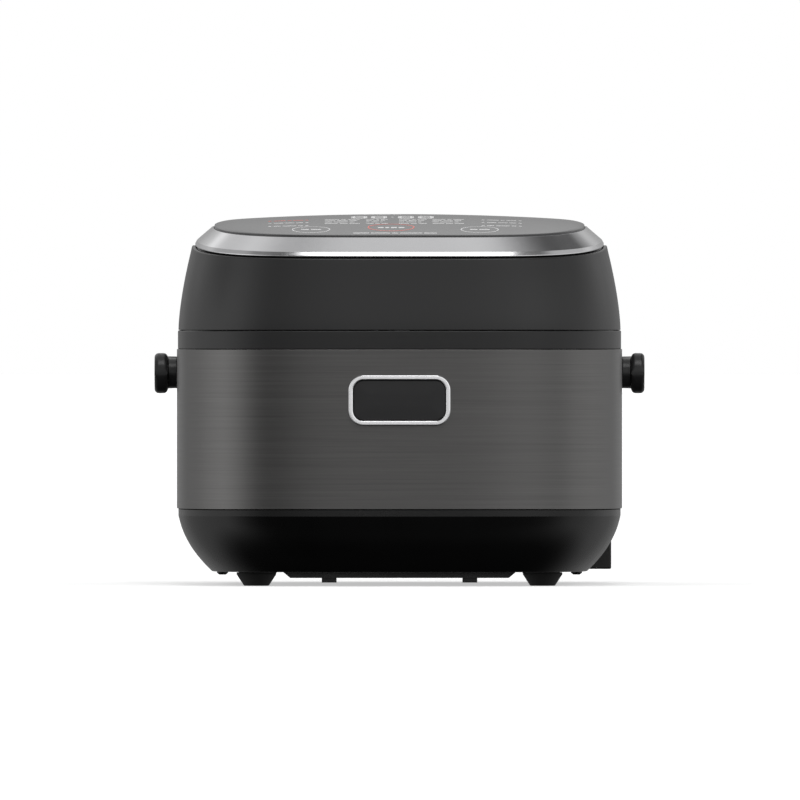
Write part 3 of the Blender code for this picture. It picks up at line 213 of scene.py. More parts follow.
def lofted(levels, ends="joined"):
    """A skin through the levels. Its ends are joined together, filled flat, or drawn to a point."""
    shape = bmesh.new()
    layer = shape.verts.layers.int.new("step")
    ring = bmesh.ops.create_circle(shape, segments=len(levels[0]), radius=1)["verts"]
    for number, vert in enumerate(ring):
        vert[layer] = number

    def move(verts, level):
        for vert in verts:
            vert.co = level[vert[layer]]

    move(ring, levels[0])
    first = list(shape.edges)
    last = first
    for level in levels[1:]:
        grown = bmesh.ops.extrude_edge_only(shape, edges=last)["geom"]
        last = [part for part in grown if isinstance(part, bmesh.types.BMEdge)]
        move([part for part in grown if isinstance(part, bmesh.types.BMVert)], level)
    if ends == "joined":
        bmesh.ops.bridge_loops(shape, edges=first + last)
    if ends == "flat":
        bmesh.ops.contextual_create(shape, geom=first)
        bmesh.ops.contextual_create(shape, geom=last)
    if ends == "pointed":
        for edges in (first, last):
            verts = list({vert for edge in edges for vert in edge.verts})
            middle = sum((vert.co for vert in verts), Vector()) / len(verts)
            bmesh.ops.pointmerge(shape, verts=verts, merge_co=middle)
    bmesh.ops.recalc_face_normals(shape, faces=shape.faces)
    return shape


def squared_solid(path, climb, rear=HALF_DEPTH):
    """The body's outline swept along a closed path of (inset, height).

    Climb gives each height's share of the rise.
    """
    return lofted([square_ring(inset, height, climb(height), rear) for inset, height in path])


def spun(profile, closed=False, steps=ROUND_STEPS):
    """A turned solid about Z, from a path of (radius, height)."""
    shape = bmesh.new()
    verts = [shape.verts.new((radius, 0, height)) for radius, height in profile]
    edges = [shape.edges.new(pair) for pair in zip(verts, verts[1:])]
    if closed:
        edges.append(shape.edges.new((verts[-1], verts[0])))
    bmesh.ops.spin(
        shape, geom=verts + edges, axis=(0, 0, 1), cent=(0, 0, 0), angle=2 * math.pi, steps=steps,
        use_merge=True,
    )
    bmesh.ops.remove_doubles(shape, verts=shape.verts, dist=0.000001)
    bmesh.ops.recalc_face_normals(shape, faces=shape.faces)
    return shape


def rounded_plate(half_width, half_height, corner, section):
    """A plate with round corners, from an open path of (inset, level) that ends in two flat faces."""
    levels = []
    for inset, level in section:
        levels.append(plate_ring(half_width - inset, half_height - inset, max(corner - inset, 0.0005), level))
    return lofted(levels, "flat")


def block(low, high, rounding=0.0, segments=3):
    """A box between two corners, with rounded edges."""
    shape = bmesh.new()
    size = Vector(high) - Vector(low)
    middle = (Vector(high) + Vector(low)) / 2
    bmesh.ops.create_cube(shape, size=1, matrix=Matrix.Translation(middle) @ Matrix.Diagonal((*size, 1)))
    if rounding:
        round_edges(shape, rounding, segments)
    return shape


def rod(radius, length, place, segments=32):
    """A plain round bar about its middle."""
    shape = bmesh.new()
    bmesh.ops.create_cone(
        shape, cap_ends=True, segments=segments, radius1=radius, radius2=radius, depth=length, matrix=place
    )
    return shape


def round_edges(shape, rounding, segments=3):
    """Rounds the edges where faces meet sharply."""
    sharp = [edge for edge in shape.edges if edge.is_manifold and edge.calc_face_angle() > math.radians(35)]
    bmesh.ops.bevel(
        shape, geom=sharp, offset=rounding, segments=segments, profile=0.5, affect="EDGES", material=-1
    )


def slab(outline, thickness, rounding=0.0):
    """A flat outline given a thickness about its plane, with rounded edges."""
    shape = bmesh.new()
    verts = [shape.verts.new((x, y, -thickness / 2)) for x, y in outline]
    face = bmesh.ops.contextual_create(shape, geom=verts)["faces"]
    grown = bmesh.ops.extrude_face_region(shape, geom=face)["geom"]
    raised = [part for part in grown if isinstance(part, bmesh.types.BMVert)]
    bmesh.ops.translate(shape, verts=raised, vec=(0, 0, thickness))
    bmesh.ops.recalc_face_normals(shape, faces=shape.faces)
    if rounding:
        round_edges(shape, rounding)
    return shape


def placed(shape, at=(0, 0, 0), turned_by=None):
    """The shape turned and then moved."""
    matrix = Matrix.Translation(at) @ (turned_by or Matrix.Identity(4))
    bmesh.ops.transform(shape, matrix=matrix, verts=shape.verts)
    return shape


def together(*shapes):
    """One bmesh that holds all the shapes."""
    whole = bmesh.new()
    for shape in shapes:
        mesh = bpy.data.meshes.new("piece")
        shape.to_mesh(mesh)
        shape.free()
        whole.from_mesh(mesh)
        bpy.data.meshes.remove(mesh)
    return whole


def carved(shape, *cutters):
    """The shape with each cutter taken out of it."""
    for cutter in cutters:
        objects = []
        for part in (shape, cutter):
            mesh = bpy.data.meshes.new("carving")
            part.to_mesh(mesh)
            part.free()
            made = bpy.data.objects.new("carving", mesh)
            bpy.context.scene.collection.objects.link(made)
            objects.append(made)
        change = objects[0].modifiers.new("cut", "BOOLEAN")
        change.object = objects[1]
        change.solver = "EXACT"
        bpy.context.view_layer.update()
        graph = bpy.context.evaluated_depsgraph_get()
        shape = bmesh.new()
        shape.from_mesh(objects[0].evaluated_get(graph).data)
        for made in objects:
            mesh = made.data
            bpy.data.objects.remove(made)
            bpy.data.meshes.remove(mesh)
    return shape


FACING_FRONT = Matrix.Rotation(math.pi / 2, 4, "X")  # a flat outline's X and Y become the body's X and Z
ALONG_X = Matrix.Rotation(math.pi / 2, 4, "Y")  # a turned piece's axis becomes the body's X
SIDE_VIEW = Matrix.Rotation(math.pi / 2, 4, "Z") @ FACING_FRONT  # a flat outline's X and Y become Y and Z


def keep(name, shape, slot, body, replaced=(), sharp=35):
    """Makes the finished piece, in its place, on its body."""
    placed(shape, (0, MIDDLE_Y, 0))
    mesh = bpy.data.meshes.new(name)
    shape.to_mesh(mesh)
    shape.free()
    mesh.shade_smooth()
    mesh.set_sharp_from_angle(angle=math.radians(sharp))
    mesh.materials.append(finish(slot))
    piece = bpy.data.objects.new(name, mesh)
    bpy.context.scene.collection.objects.link(piece)
    flat = piece.modifiers.new("flat faces", "WEIGHTED_NORMAL")
    flat.keep_sharp = True
    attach(piece, body)
    if replaced:
        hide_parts(*replaced)
    return piece


def dress(slot, *names):
    """Gives CAD nodes a finish."""
    for name in names:
        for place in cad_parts[name].material_slots:
            place.material = finish(slot)


# Finishes


class Signal:
    """A number that changes over a surface. Arithmetic on it adds Math nodes."""

    def __init__(self, tree, socket):
        self.tree = tree
        self.socket = socket

    def combined(self, operation, first, second):
        return self.tree.add("ShaderNodeMath", {"operation": operation}, {0: first, 1: second})

    def __add__(self, other):
        return self.combined("ADD", self, other)

    def __radd__(self, other):
        return self.combined("ADD", other, self)

    def __sub__(self, other):
        return self.combined("SUBTRACT", self, other)

    def __rsub__(self, other):
        return self.combined("SUBTRACT", other, self)

    def __mul__(self, other):
        return self.combined("MULTIPLY", self, other)

    def __rmul__(self, other):
        return self.combined("MULTIPLY", other, self)

    def __truediv__(self, other):
        return self.combined("DIVIDE", self, other)


class Tree:
    """A node tree under construction."""

    def __init__(self, nodes_owner):
        nodes_owner.use_nodes = True
        self.tree = nodes_owner.node_tree

    def add(self, kind, settings=None, sockets=None, output=0):
        """Adds a node with its settings and the values or links of its sockets; gives one output."""
        node = self.tree.nodes.new(kind)
        for name, value in (settings or {}).items():
            if name == "stops":
                stops = node.color_ramp.elements
                ends = [stops[0], stops[-1]]
                for end, (position, level) in zip(ends, (value[0], value[-1])):
                    end.position = position
                    end.color = (level, level, level, 1)
                for position, level in value[1:-1]:
                    stops.new(position).color = (level, level, level, 1)
            else:
                setattr(node, name, value)
        for name, value in (sockets or {}).items():
            self.feed(node.inputs[name], value)
        return Signal(self, node.outputs[output])

    def feed(self, socket, value):
        if isinstance(value, Signal):
            self.tree.links.new(value.socket, socket)
        else:
            socket.default_value = value

    def place(self):
        """Where a point is on the piece, in metres."""
        return self.add("ShaderNodeTexCoord", output="Object")

    def stretched(self, scale):
        """Object coordinates scaled by axis."""
        return self.add("ShaderNodeMapping", None, {"Vector": self.place(), "Scale": scale})

    def noise(self, vector, scale, detail=2.0, roughness=0.5):
        sockets = {"Vector": vector, "Scale": scale, "Detail": detail, "Roughness": roughness}
        return self.add("ShaderNodeTexNoise", None, sockets)

    def between(self, amount, dark, light):
        """A colour that goes from one to the other."""
        return self.add(
            "ShaderNodeMix",
            {"data_type": "RGBA"},
            {"Factor": amount, "A": (*dark, 1), "B": (*light, 1)},
            "Result",
        )

    def bump(self, height, strength, distance):
        return self.add(
            "ShaderNodeBump", None, {"Height": height, "Strength": strength, "Distance": distance}, "Normal"
        )


class Finish(Tree):
    """A material with a Principled shader."""

    def __init__(self, name):
        self.material = bpy.data.materials.new(name)
        super().__init__(self.material)
        self.shader = self.tree.nodes["Principled BSDF"]

    def set(self, **values):
        """Sets or links the shader's sockets, named with underscores for spaces."""
        for name, value in values.items():
            self.feed(self.shader.inputs[name.replace("_", " ")], value)
        return self


def tinted(colour, factor):
    return tuple(min(channel * factor, 1) for channel in colour)


def moulded(name, colour, roughness, grain=1500.0, relief=0.00004, spread=0.10, specular=0.5):
    """Moulded plastic or rubber: a fine spark-eroded grain, slight clouding and handling marks."""
    made = Finish(name)
    place = made.place()
    texture = made.noise(place, grain, 3.0, 0.6)
    clouding = made.noise(place, 16.0, 3.0)
    marks = made.noise(made.stretched((60, 60, 9)), 1.0, 4.0, 0.7)
    made.set(
        Base_Color=made.between(clouding, tinted(colour, 1 - spread), tinted(colour, 1 + spread)),
        Roughness=roughness + (clouding - 0.5) * 0.08 + (marks - 0.5) * 0.10 + (texture - 0.5) * 0.06,
        Specular_IOR_Level=specular,
        Normal=made.bump(texture, 0.35, relief),
    )
    return made.material


def metal(name, colour, roughness, scale=(40, 40, 40), streaks=0.12, relief=0.00001):
    """Worked metal: fine marks that run where the scale is smallest, with slight staining."""
    made = Finish(name)
    marks = made.noise(made.stretched(scale), 1.0, 4.0, 0.6)
    stain = made.noise(made.place(), 22.0, 3.0)
    made.set(
        Base_Color=made.between(marks, tinted(colour, 1 - streaks), tinted(colour, 1 + streaks)),
        Metallic=1.0,
        Roughness=roughness + (stain - 0.5) * 0.08 + (marks - 0.5) * 0.10,
        Normal=made.bump(marks, 0.25, relief),
    )
    return made.material


def look():
    return bpy.context.scene.cooker_look


def lid_plastic():
    """Satin dark-grey plastic of the lid, the collar and the handle."""
    return moulded("lid_plastic", look().lid, look().lid_roughness, 1700.0, 0.00003, 0.08, 0.45)


def base_plastic():
    return moulded("base_plastic", look().base, 0.28, 1400.0, 0.00003, 0.15, 0.40)


def inner_plastic():
    return moulded("inner_plastic", (0.16, 0.16, 0.165), 0.5)


def button_plastic():
    return moulded("button_plastic", look().button, 0.42, 1900.0, 0.00003, 0.08, 0.35)


def rubber():
    return moulded("foot_rubber", (0.018, 0.018, 0.018), 0.75, 900.0, 0.00008, 0.2, 0.3)


def silicone():
    return moulded("silicone", (0.36, 0.36, 0.37), 0.55, 800.0, 0.00004, 0.06, 0.4)


def brushed_wrap():
    """Dark stainless steel, brushed level round the body: long fine streaks over a soft clouding."""
    made = Finish("brushed_dark_steel")
    fine = made.noise(made.stretched((14, 14, 2600)), 1.0, 3.0, 0.65)
    broad = made.noise(made.stretched((7, 7, 620)), 1.0, 2.0, 0.5)
    clouding = made.noise(made.stretched((5, 5, 30)), 1.0, 2.0)
    streaks = fine * 0.55 + broad * 0.45
    steel = look().steel
    made.set(
        Base_Color=made.between(streaks, tinted(steel, 0.62), tinted(steel, 1.38)),
        Metallic=1.0,
        Roughness=look().steel_roughness + (streaks - 0.5) * 0.22 + (clouding - 0.5) * 0.05,
        Anisotropic=0.65,
        Anisotropic_Rotation=0.25,
        Normal=made.bump(streaks, 0.30, 0.00002),
    )
    return made.material


def chrome_plating(name, colour, roughness):
    """Chrome plating, with the faint waviness of a moulding underneath."""
    made = Finish(name)
    wave = made.noise(made.place(), 45.0, 2.0)
    fine = made.noise(made.place(), 300.0, 3.0, 0.6)
    made.set(
        Base_Color=made.between(fine, tinted(colour, 0.96), tinted(colour, 1.04)),
        Metallic=1.0,
        Roughness=roughness + (wave - 0.5) * 0.04 + (fine - 0.5) * 0.05,
        Normal=made.bump(wave, 0.05, 0.00005),
    )
    return made.material


def satin_chrome():
    return chrome_plating("satin_chrome", look().chrome, look().chrome_roughness)


def bright_chrome():
    return chrome_plating("bright_chrome", tinted(look().chrome, 1.5), look().chrome_roughness)


def panel_glass():
    """Dark glass, painted behind, with a trace of handling on its surface."""
    made = Finish("panel_glass")
    place = made.place()
    smear = made.noise(made.stretched((30, 9, 30)), 1.0, 4.0, 0.65)
    ripple = made.noise(place, 30.0, 1.0)
    glass = look().glass
    made.set(
        Base_Color=made.between(smear, tinted(glass, 0.9), tinted(glass, 1.1)),
        Roughness=look().glass_roughness + (smear - 0.5) * 0.08,
        IOR=1.5,
        Specular_IOR_Level=0.5,
        Normal=made.bump(ripple, 0.03, 0.00005),
    )
    return made.material


def print_ink(name, colour, painted_glow=0.0):
    """Screen-printed ink on the glass, slightly uneven, with a painted glow that makes it shine though it is
    no lamp.
    """
    made = Finish(name)
    unevenness = made.noise(made.place(), 1200.0, 2.0)
    made.set(
        Base_Color=made.between(unevenness, tinted(colour, 0.85), colour),
        Roughness=0.45 + unevenness * 0.1,
        # The emission is a painted glow: the ink gives off light of its own colour though it is no lamp
        Emission_Color=(*colour, 1),
        Emission_Strength=painted_glow,
    )
    return made.material


def white_ink():
    # 0.25 is the strength of the painted glow on the white print
    return print_ink("white_print", look().legend, 0.25)


def red_ink():
    # 0.25 is the strength of the painted glow on the red print
    return print_ink("red_print", look().start, 0.25)


def mark_ink():
    return print_ink("level_print", (0.75, 0.75, 0.72))


def pot_coating():
    """Dark non-stick coating with fine mineral flecks."""
    made = Finish("pot_coating")
    place = made.place()
    flecks = made.noise(place, 1100.0, 1.0)
    fleck = made.add("ShaderNodeValToRGB", {"stops": ((0.60, 0.0), (0.68, 1.0))}, {"Fac": flecks}, "Color")
    clouding = made.noise(place, 20.0, 2.0)
    made.set(
        Base_Color=made.between(fleck, (0.035, 0.033, 0.032), (0.16, 0.15, 0.14)),
        Roughness=0.42 + (clouding - 0.5) * 0.12 + (flecks - 0.5) * 0.1,
        Normal=made.bump(flecks, 0.3, 0.00004),
    )
    return made.material


def aluminium():
    return metal("spun_aluminium", (0.66, 0.66, 0.68), 0.34, (90, 90, 90))


def plain_steel():
    return metal("drawn_steel", (0.52, 0.52, 0.53), 0.30, (200, 60, 60))


def black_steel():
    return metal("blackened_steel", (0.03, 0.03, 0.03), 0.45, (90, 90, 90))


def brass():
    return metal("brass", (0.74, 0.56, 0.26), 0.28, (60, 300, 60))


def copper():
    """A winding of enamelled strands, laid in rings round the middle of the body."""
    made = Finish("copper_winding")
    centred = made.add("ShaderNodeMapping", None, {"Vector": made.place(), "Location": (0, -MIDDLE_Y, 0)})
    strands = made.add(
        "ShaderNodeTexWave",
        {"wave_type": "RINGS", "rings_direction": "Z"},
        {"Vector": centred, "Scale": 130.0, "Distortion": 0.6, "Detail": 1.0},
        "Fac",
    )
    made.set(
        Base_Color=made.between(strands, (0.20, 0.06, 0.025), (0.72, 0.30, 0.12)),
        Metallic=1.0,
        Roughness=0.30 + strands * 0.15,
        Normal=made.bump(strands, 0.5, 0.0003),
    )
    return made.material


def ferrite():
    return moulded("ferrite", (0.05, 0.05, 0.055), 0.62, 700.0, 0.0001, 0.25)


def circuit_board():
    """Green solder mask over traces that run square to each other."""
    made = Finish("circuit_board")
    traces = made.add(
        "ShaderNodeTexBrick",
        None,
        {"Vector": made.stretched((160, 160, 160)), "Scale": 1.0, "Mortar Size": 0.03, "Bias": 0.0},
        "Fac",
    )
    made.set(
        Base_Color=made.between(traces, (0.012, 0.09, 0.04), (0.05, 0.24, 0.11)),
        Roughness=0.34 + traces * 0.12,
        Normal=made.bump(traces, 0.3, 0.00008),
    )
    return made.material


FINISHES = {
    "dark_plastic": lid_plastic,
    "black_plastic": base_plastic,
    "inner_plastic": inner_plastic,
    "wrap_steel": brushed_wrap,
    "plain_steel": plain_steel,
    "black_steel": black_steel,
    "satin_chrome": satin_chrome,
    "bright_chrome": bright_chrome,
    "dark_glass": panel_glass,
    "button_plastic": button_plastic,
    "rubber": rubber,
    "silicone": silicone,
    "aluminium": aluminium,
    "pot_coating": pot_coating,
    "copper": copper,
    "ferrite": ferrite,
    "circuit_board": circuit_board,
    "brass": brass,
    "white_ink": white_ink,
    "red_ink": red_ink,
    "mark_ink": mark_ink,
}
# The finishes made so far, by name
_made_finishes = {}


def finish(slot):
    """The material of this name, made when it is first asked for."""
    if slot not in _made_finishes:
        _made_finishes[slot] = FINISHES[slot]()
    return _made_finishes[slot]


# Base


def no_climb(height):
    return 0.0


def base_wall_inset(height):
    """How far in the base's outer wall is at this height: it draws in faster towards the bottom."""
    ledge = BASE_TOP - BASE_LEDGE
    share = (ledge - height) / (ledge - FOOT_HEIGHT)
    return BODY_INSET + BASE_TAPER * (0.35 * share + 0.65 * share**2.2)


def make_base_housing():
    """The black tapered housing, with its ledge under the steel and a seat for the bottom cover."""
    ledge = BASE_TOP - BASE_LEDGE
    heights = [FOOT_HEIGHT + (ledge - FOOT_HEIGHT) * step / 14 for step in range(14)]
    flange_low = FOOT_HEIGHT + COVER_THICKNESS + GAP
    flange_high = flange_low + 0.0022
    edge = base_wall_inset(FOOT_HEIGHT)
    path = softened(
        [
            (BODY_INSET + BASE_WALL, BASE_TOP, 0.0),
            (BODY_INSET, BASE_TOP, 0.0004),
            (BODY_INSET, ledge, 0.0008),
            (base_wall_inset(ledge - 0.0010), ledge - 0.0010, 0.0),
        ],
        closed=False,
    )
    path += [Vector((base_wall_inset(height), height)) for height in reversed(heights[1:-1])]
    path += softened(
        [
            (base_wall_inset(heights[1]), heights[1], 0.0),
            (edge, FOOT_HEIGHT, 0.0008),
            (edge + BASE_WALL, FOOT_HEIGHT, 0.0),
        ],
        closed=False,
    )[1:]
    path += [
        Vector((edge + BASE_WALL, flange_low)),
        Vector((edge + BASE_WALL + 0.0075, flange_low)),
        Vector((edge + BASE_WALL + 0.0075, flange_high)),
        Vector((edge + BASE_WALL - 0.0006, flange_high)),
    ]
    path += [Vector((base_wall_inset(height) + BASE_WALL + 0.0004, height)) for height in heights[4::3]]
    path.append(Vector((BODY_INSET + BASE_WALL, ledge)))
    housing = squared_solid(path, no_climb)
    low, high = own_box("power_inlet")
    notch = block((low.x - SLACK, low.y - SLACK, 0), (HALF_WIDTH, high.y + SLACK, high.z + SLACK))
    keep("base_shell", carved(housing, notch), "black_plastic", "housing", ["base_housing"])


def make_feet():
    """Four rubber feet, coned towards the counter, each with a soft edge and a shallow recess."""
    for end in ("front", "rear"):
        for side in ("left", "right"):
            name = f"{end}_{side}_foot"
            low, high = own_box(name)
            radius = (high.x - low.x) / 2
            top = FOOT_HEIGHT - GAP
            tip = radius * 0.625
            profile = softened(
                [
                    (0.0, high.z, 0.0),
                    (0.0031, high.z, 0.0003),
                    (0.0031, top, 0.0),
                    (radius, top, 0.0004),
                    (radius, top - 0.0012, 0.0008),
                    (tip, 0.0, 0.0010),
                    (tip - 0.0030, 0.0, 0.0004),
                    (tip - 0.0036, 0.0006, 0.0003),
                    (0.0, 0.0006, 0.0),
                ],
                closed=False,
            )
            middle = own_middle(name)
            foot = placed(spun(profile), (middle.x, middle.y, 0))
            keep(f"{name}_pad", foot, "rubber", "housing", [name])


# Body


def make_steel_wrap():
    """The brushed steel round the body, with its openings for the button and the handle pivots."""
    low = WRAP_LOW.z
    section = [(0, BAND_TOP, 0.0003), (0, low, 0.0003), (BAND_WALL, low, 0.0), (BAND_WALL, BAND_TOP, 0.0)]
    wrap = squared_solid(softened(section, steps=3), no_climb)
    frame_low, frame_high = own_box("button_frame")
    half_width = (frame_high.x - frame_low.x) / 2 - BEZEL_LAP
    half_height = (frame_high.z - frame_low.z) / 2 - BEZEL_LAP
    corner = BEZEL_CORNER - BEZEL_LAP
    hole = lofted([plate_ring(half_width, half_height, corner, level) for level in (-0.01, 0.01)], "flat")
    placed(hole, (0, -HALF_DEPTH, own_middle("button_frame").z), FACING_FRONT)
    pivots = Matrix.Translation((0, 0, own_middle("handle_pivot_left").z)) @ ALONG_X
    bore = rod(PIVOT_BORE, 3 * HALF_WIDTH, pivots)
    keep("steel_band", carved(wrap, hole, bore), "wrap_steel", "housing", ["steel_wrap"])


def make_collar():
    """The collar over the steel, and the deck inside it with its round opening for the pot."""
    inner = COLLAR_INSET + COLLAR_WALL
    deck_top = COLLAR_TOP - DECK_DROP
    deck_low = deck_top - DECK_THICKNESS
    low = BAND_TOP + GAP
    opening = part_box("inner_pot")[1].x - POT_FLANGE + 0.0030
    skirt = softened(
        [
            (inner, deck_top, 0.0),
            (inner, COLLAR_TOP, 0.0004),
            (COLLAR_INSET, COLLAR_TOP, 0.0007),
            (COLLAR_INSET, low, 0.0003),
            (inner, low, 0.0),
            (inner, deck_low, 0.0),
        ],
        closed=False,
    )
    levels = [square_ring(inset, height) for inset, height in skirt]
    levels += [
        round_ring(opening + 0.0006, deck_low),
        round_ring(opening, deck_low + 0.0006),
        round_ring(opening, deck_top - 0.0006),
        round_ring(opening + 0.0006, deck_top),
    ]
    collar = lofted(levels)
    half_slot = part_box("latch_lever")[1].x + 0.003
    slot = block(
        (-half_slot, inner + 0.0015 - HALF_DEPTH, deck_low - 0.001),
        (half_slot, LATCH_Y + 0.0095, deck_top + 0.001),
    )
    keep("collar_and_deck", carved(collar, slot), "dark_plastic", "housing", ["top_frame"])


# Pot


def make_pot():
    """The coated pot: a rolled rim, straight walls, a round corner and a flat floor."""
    low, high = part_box("inner_pot")
    rim = high.x
    radius = rim - POT_FLANGE
    lip_low = high.z - 0.0015
    profile = softened(
        [
            (0.0, low.z + POT_WALL, 0.0),
            (radius - POT_WALL, low.z + POT_WALL, POT_CORNER - POT_WALL),
            (radius - POT_WALL, high.z, 0.0012),
            (rim, high.z, 0.0006),
            (rim, lip_low, 0.0006),
            (radius, lip_low, 0.0004),
            (radius, low.z, POT_CORNER),
            (0.0, low.z, 0.0),
        ],
        closed=False,
        steps=12,
    )
    keep("coated_pot", spun(profile, steps=120), "pot_coating", "housing", ["inner_pot"])
    make_level_marks(low.z, radius - POT_WALL)


def make_level_marks(floor, radius):
    """Printed water levels on the rear of the pot's inner wall, long and short by turns."""
    marks = []
    half_line = 0.0004
    for level in range(2, 9):
        height = floor + 0.030 + level * 0.0085
        half_length = 0.010 if level % 2 == 0 else 0.006
        mark = block((-half_length, 0, height - half_line), (half_length, 0.0001, height + half_line))
        bmesh.ops.subdivide_edges(mark, edges=long_edges(mark), cuts=6)
        for vert in mark.verts:
            out = radius - 0.00012 + vert.co.y
            turn = vert.co.x / out
            vert.co = (out * math.sin(turn), out * math.cos(turn), vert.co.z)
        marks.append(mark)
    keep("pot_level_marks", together(*marks), "mark_ink", "housing")


def long_edges(shape):
    """The edges of a block that run along its length."""
    longest = max(edge.calc_length() for edge in shape.edges)
    return [edge for edge in shape.edges if edge.calc_length() > 0.9 * longest]


# Lid


def lid_climb(height):
    """How much of the rim's rise the lid's wall has taken up at this height."""
    return min(max((height - LID_BOTTOM) / LID_WALL_HEIGHT, 0), 1)


def lid_wall_inset(share):
    """How far in the lid's wall is, from its bottom edge (0) to its shoulder (1)."""
    return BODY_INSET + LID_LEAN * share**1.55


def make_lid_shell():
    """The dark shell: a convex wall, a shoulder, a groove under the ring, and a ledge for the glass."""
    steps = 14
    shares = [step / steps for step in range(steps + 1)]
    inner_edge = BEVEL_INSET + BEVEL_WIDTH
    ledge = RING_TOP - 0.0014
    path = softened(
        [
            (BODY_INSET + LID_WALL, LID_BOTTOM, 0.0),
            (BODY_INSET, LID_BOTTOM, 0.0005),
            (lid_wall_inset(shares[1]), LID_BOTTOM + shares[1] * LID_WALL_HEIGHT, 0.0),
        ],
        closed=False,
    )
    path += [Vector((lid_wall_inset(share), LID_BOTTOM + share * LID_WALL_HEIGHT)) for share in shares[2:-1]]
    path += softened(
        [
            (lid_wall_inset(shares[-2]), LID_BOTTOM + shares[-2] * LID_WALL_HEIGHT, 0.0),
            (lid_wall_inset(1), RIM_HEIGHT + 0.0004, 0.0010),
            (lid_wall_inset(1) + 0.0022, RIM_HEIGHT + 0.0004, 0.0004),
            (BEVEL_INSET + 0.0007, RIM_HEIGHT - 0.0009, 0.0),
        ],
        closed=False,
    )[1:]
    path += [
        Vector((inner_edge - 0.0006, ledge)),
        Vector((inner_edge + 0.0070, ledge)),
        Vector((inner_edge + 0.0070, ledge - 0.0022)),
        Vector((inner_edge, ledge - 0.0022)),
    ]
    for share in reversed(shares[::2]):
        inner = lid_wall_inset(share) + LID_WALL
        path.append(Vector((inner, LID_BOTTOM + share * (LID_WALL_HEIGHT - 0.003))))
    shell = squared_solid(path, lid_climb, LID_REAR)
    slots = []
    for side in ("left", "right"):
        low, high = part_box(f"hinge_arm_{side}")
        slot_low = (low.x - 0.0008, LID_REAR - 0.012, LID_BOTTOM + 0.003)
        slot_high = (high.x + 0.0008, LID_REAR + 0.010, high.z + 0.002)
        slots.append(block(slot_low, slot_high))
    keep("lid_wall", carved(shell, *slots), "dark_plastic", "lid", ["lid_shell"])


def make_chrome_ring():
    """The satin ring: a steep lower lip, a wide bevel and a thin inner edge against the glass."""
    inner = BEVEL_INSET + BEVEL_WIDTH
    section = softened(
        [
            (BEVEL_INSET, RING_FOOT, 0.0003),
            (BEVEL_INSET, RING_FOOT + 0.0006, 0.0006),
            (BEVEL_INSET + 0.0012, RING_FOOT + 0.0027, 0.0005),
            (inner - 0.0004, RING_TOP, 0.0006),
            (inner + 0.0002, RING_TOP - 0.0002, 0.0002),
            (inner + 0.0002, RING_TOP - 0.0024, 0.0),
            (BEVEL_INSET + 0.0018, RING_FOOT - 0.0003, 0.0),
        ],
        steps=7,
    )
    levels = [lid_ring(inset, height) for inset, height in section]
    keep("satin_ring", lofted(levels), "satin_chrome", "lid", ["chrome_ring"])


def glass_share(x, y):
    """How far out a point of the glass is, from its middle (0) to its edge (1)."""
    half_depth = (LID_REAR if y > 0 else HALF_DEPTH) - GLASS_INSET
    across = abs(x / (HALF_WIDTH - GLASS_INSET)) ** SQUARENESS
    along = abs(y / half_depth) ** SQUARENESS
    return (across + along) ** (1 / SQUARENESS)


def glass_height(x, y):
    """The height of the glass at a point of it: crowned, and rolled off towards its sides."""
    share = glass_share(x, y)
    half_depth = (LID_REAR if y > 0 else HALF_DEPTH) - GLASS_INSET
    roll = GLASS_ROLL * (1 - share**24) * (1 - (abs(y) / half_depth) ** 2.5)
    return RING_TOP + GLASS_STAND + rim_rise(y) + roll + GLASS_CROWN * (1 - share**2)


def glass_ring(share, drop=0.0):
    level = square_ring(GLASS_INSET, 0, 0, LID_REAR, share)
    for point in level:
        point.z = glass_height(point.x, point.y) - drop
    return level


def make_glass():
    """The crowned glass with a ground edge, opened for the steam vent."""
    shares = [0.04, *(math.sin(math.pi / 2 * step / 24) for step in range(1, 23))]
    under = [glass_ring(share, GLASS_THICKNESS) for share in shares[::3]]
    edge = [(1.0, GLASS_THICKNESS), (1.0, 0.0014), (0.9992, 0.0008), (0.9978, 0.0003)]
    rim = [glass_ring(share, drop) for share, drop in edge]
    over = [glass_ring(share) for share in reversed(shares)]
    glass = lofted(under + rim + over, "pointed")
    low, high = own_box("steam_cap")
    half_width = high.x + SLACK
    half_depth = (high.y - low.y) / 2 + SLACK
    ends = (high.z - 0.03, high.z + 0.02)
    hole = lofted([plate_ring(half_width, half_depth, VENT_CORNER + SLACK, level) for level in ends], "flat")
    placed(hole, (0, own_middle("steam_cap").y, 0))
    keep("panel_glass", carved(glass, hole), "dark_glass", "lid", ["touch_glass"])


# Print on the glass


PRINT_LOW = -0.00010
PRINT_HIGH = 0.00006


def on_glass(shape):
    """Lays a flat shape on the glass. Its Y is measured back from the glass's front edge."""
    for vert in shape.verts:
        vert.co.y += GLASS_INSET - HALF_DEPTH
        vert.co.z += glass_height(vert.co.x, vert.co.y)
    return shape


def bar(low_x, high_x, low_y, high_y):
    """A printed bar between two corners."""
    shape = block((low_x, low_y, PRINT_LOW), (high_x, high_y, PRINT_HIGH))
    length = max(high_x - low_x, high_y - low_y)
    if length > 0.004:
        bmesh.ops.subdivide_edges(shape, edges=long_edges(shape), cuts=int(length / 0.002))
    return on_glass(shape)


def dot(x, y, radius):
    place = Matrix.Translation((x, y, (PRINT_HIGH + PRINT_LOW) / 2))
    return on_glass(rod(radius, PRINT_HIGH - PRINT_LOW, place, 16))


def key_ring(x, y, radius, line):
    """A printed circle round a key."""
    levels = []
    for inset, height in ((0, PRINT_LOW), (0, PRINT_HIGH), (line, PRINT_HIGH), (line, PRINT_LOW)):
        ring = round_ring(radius - inset, height, 72)
        levels.append([point + Vector((x, y, 0)) for point in ring])
    return on_glass(lofted(levels))


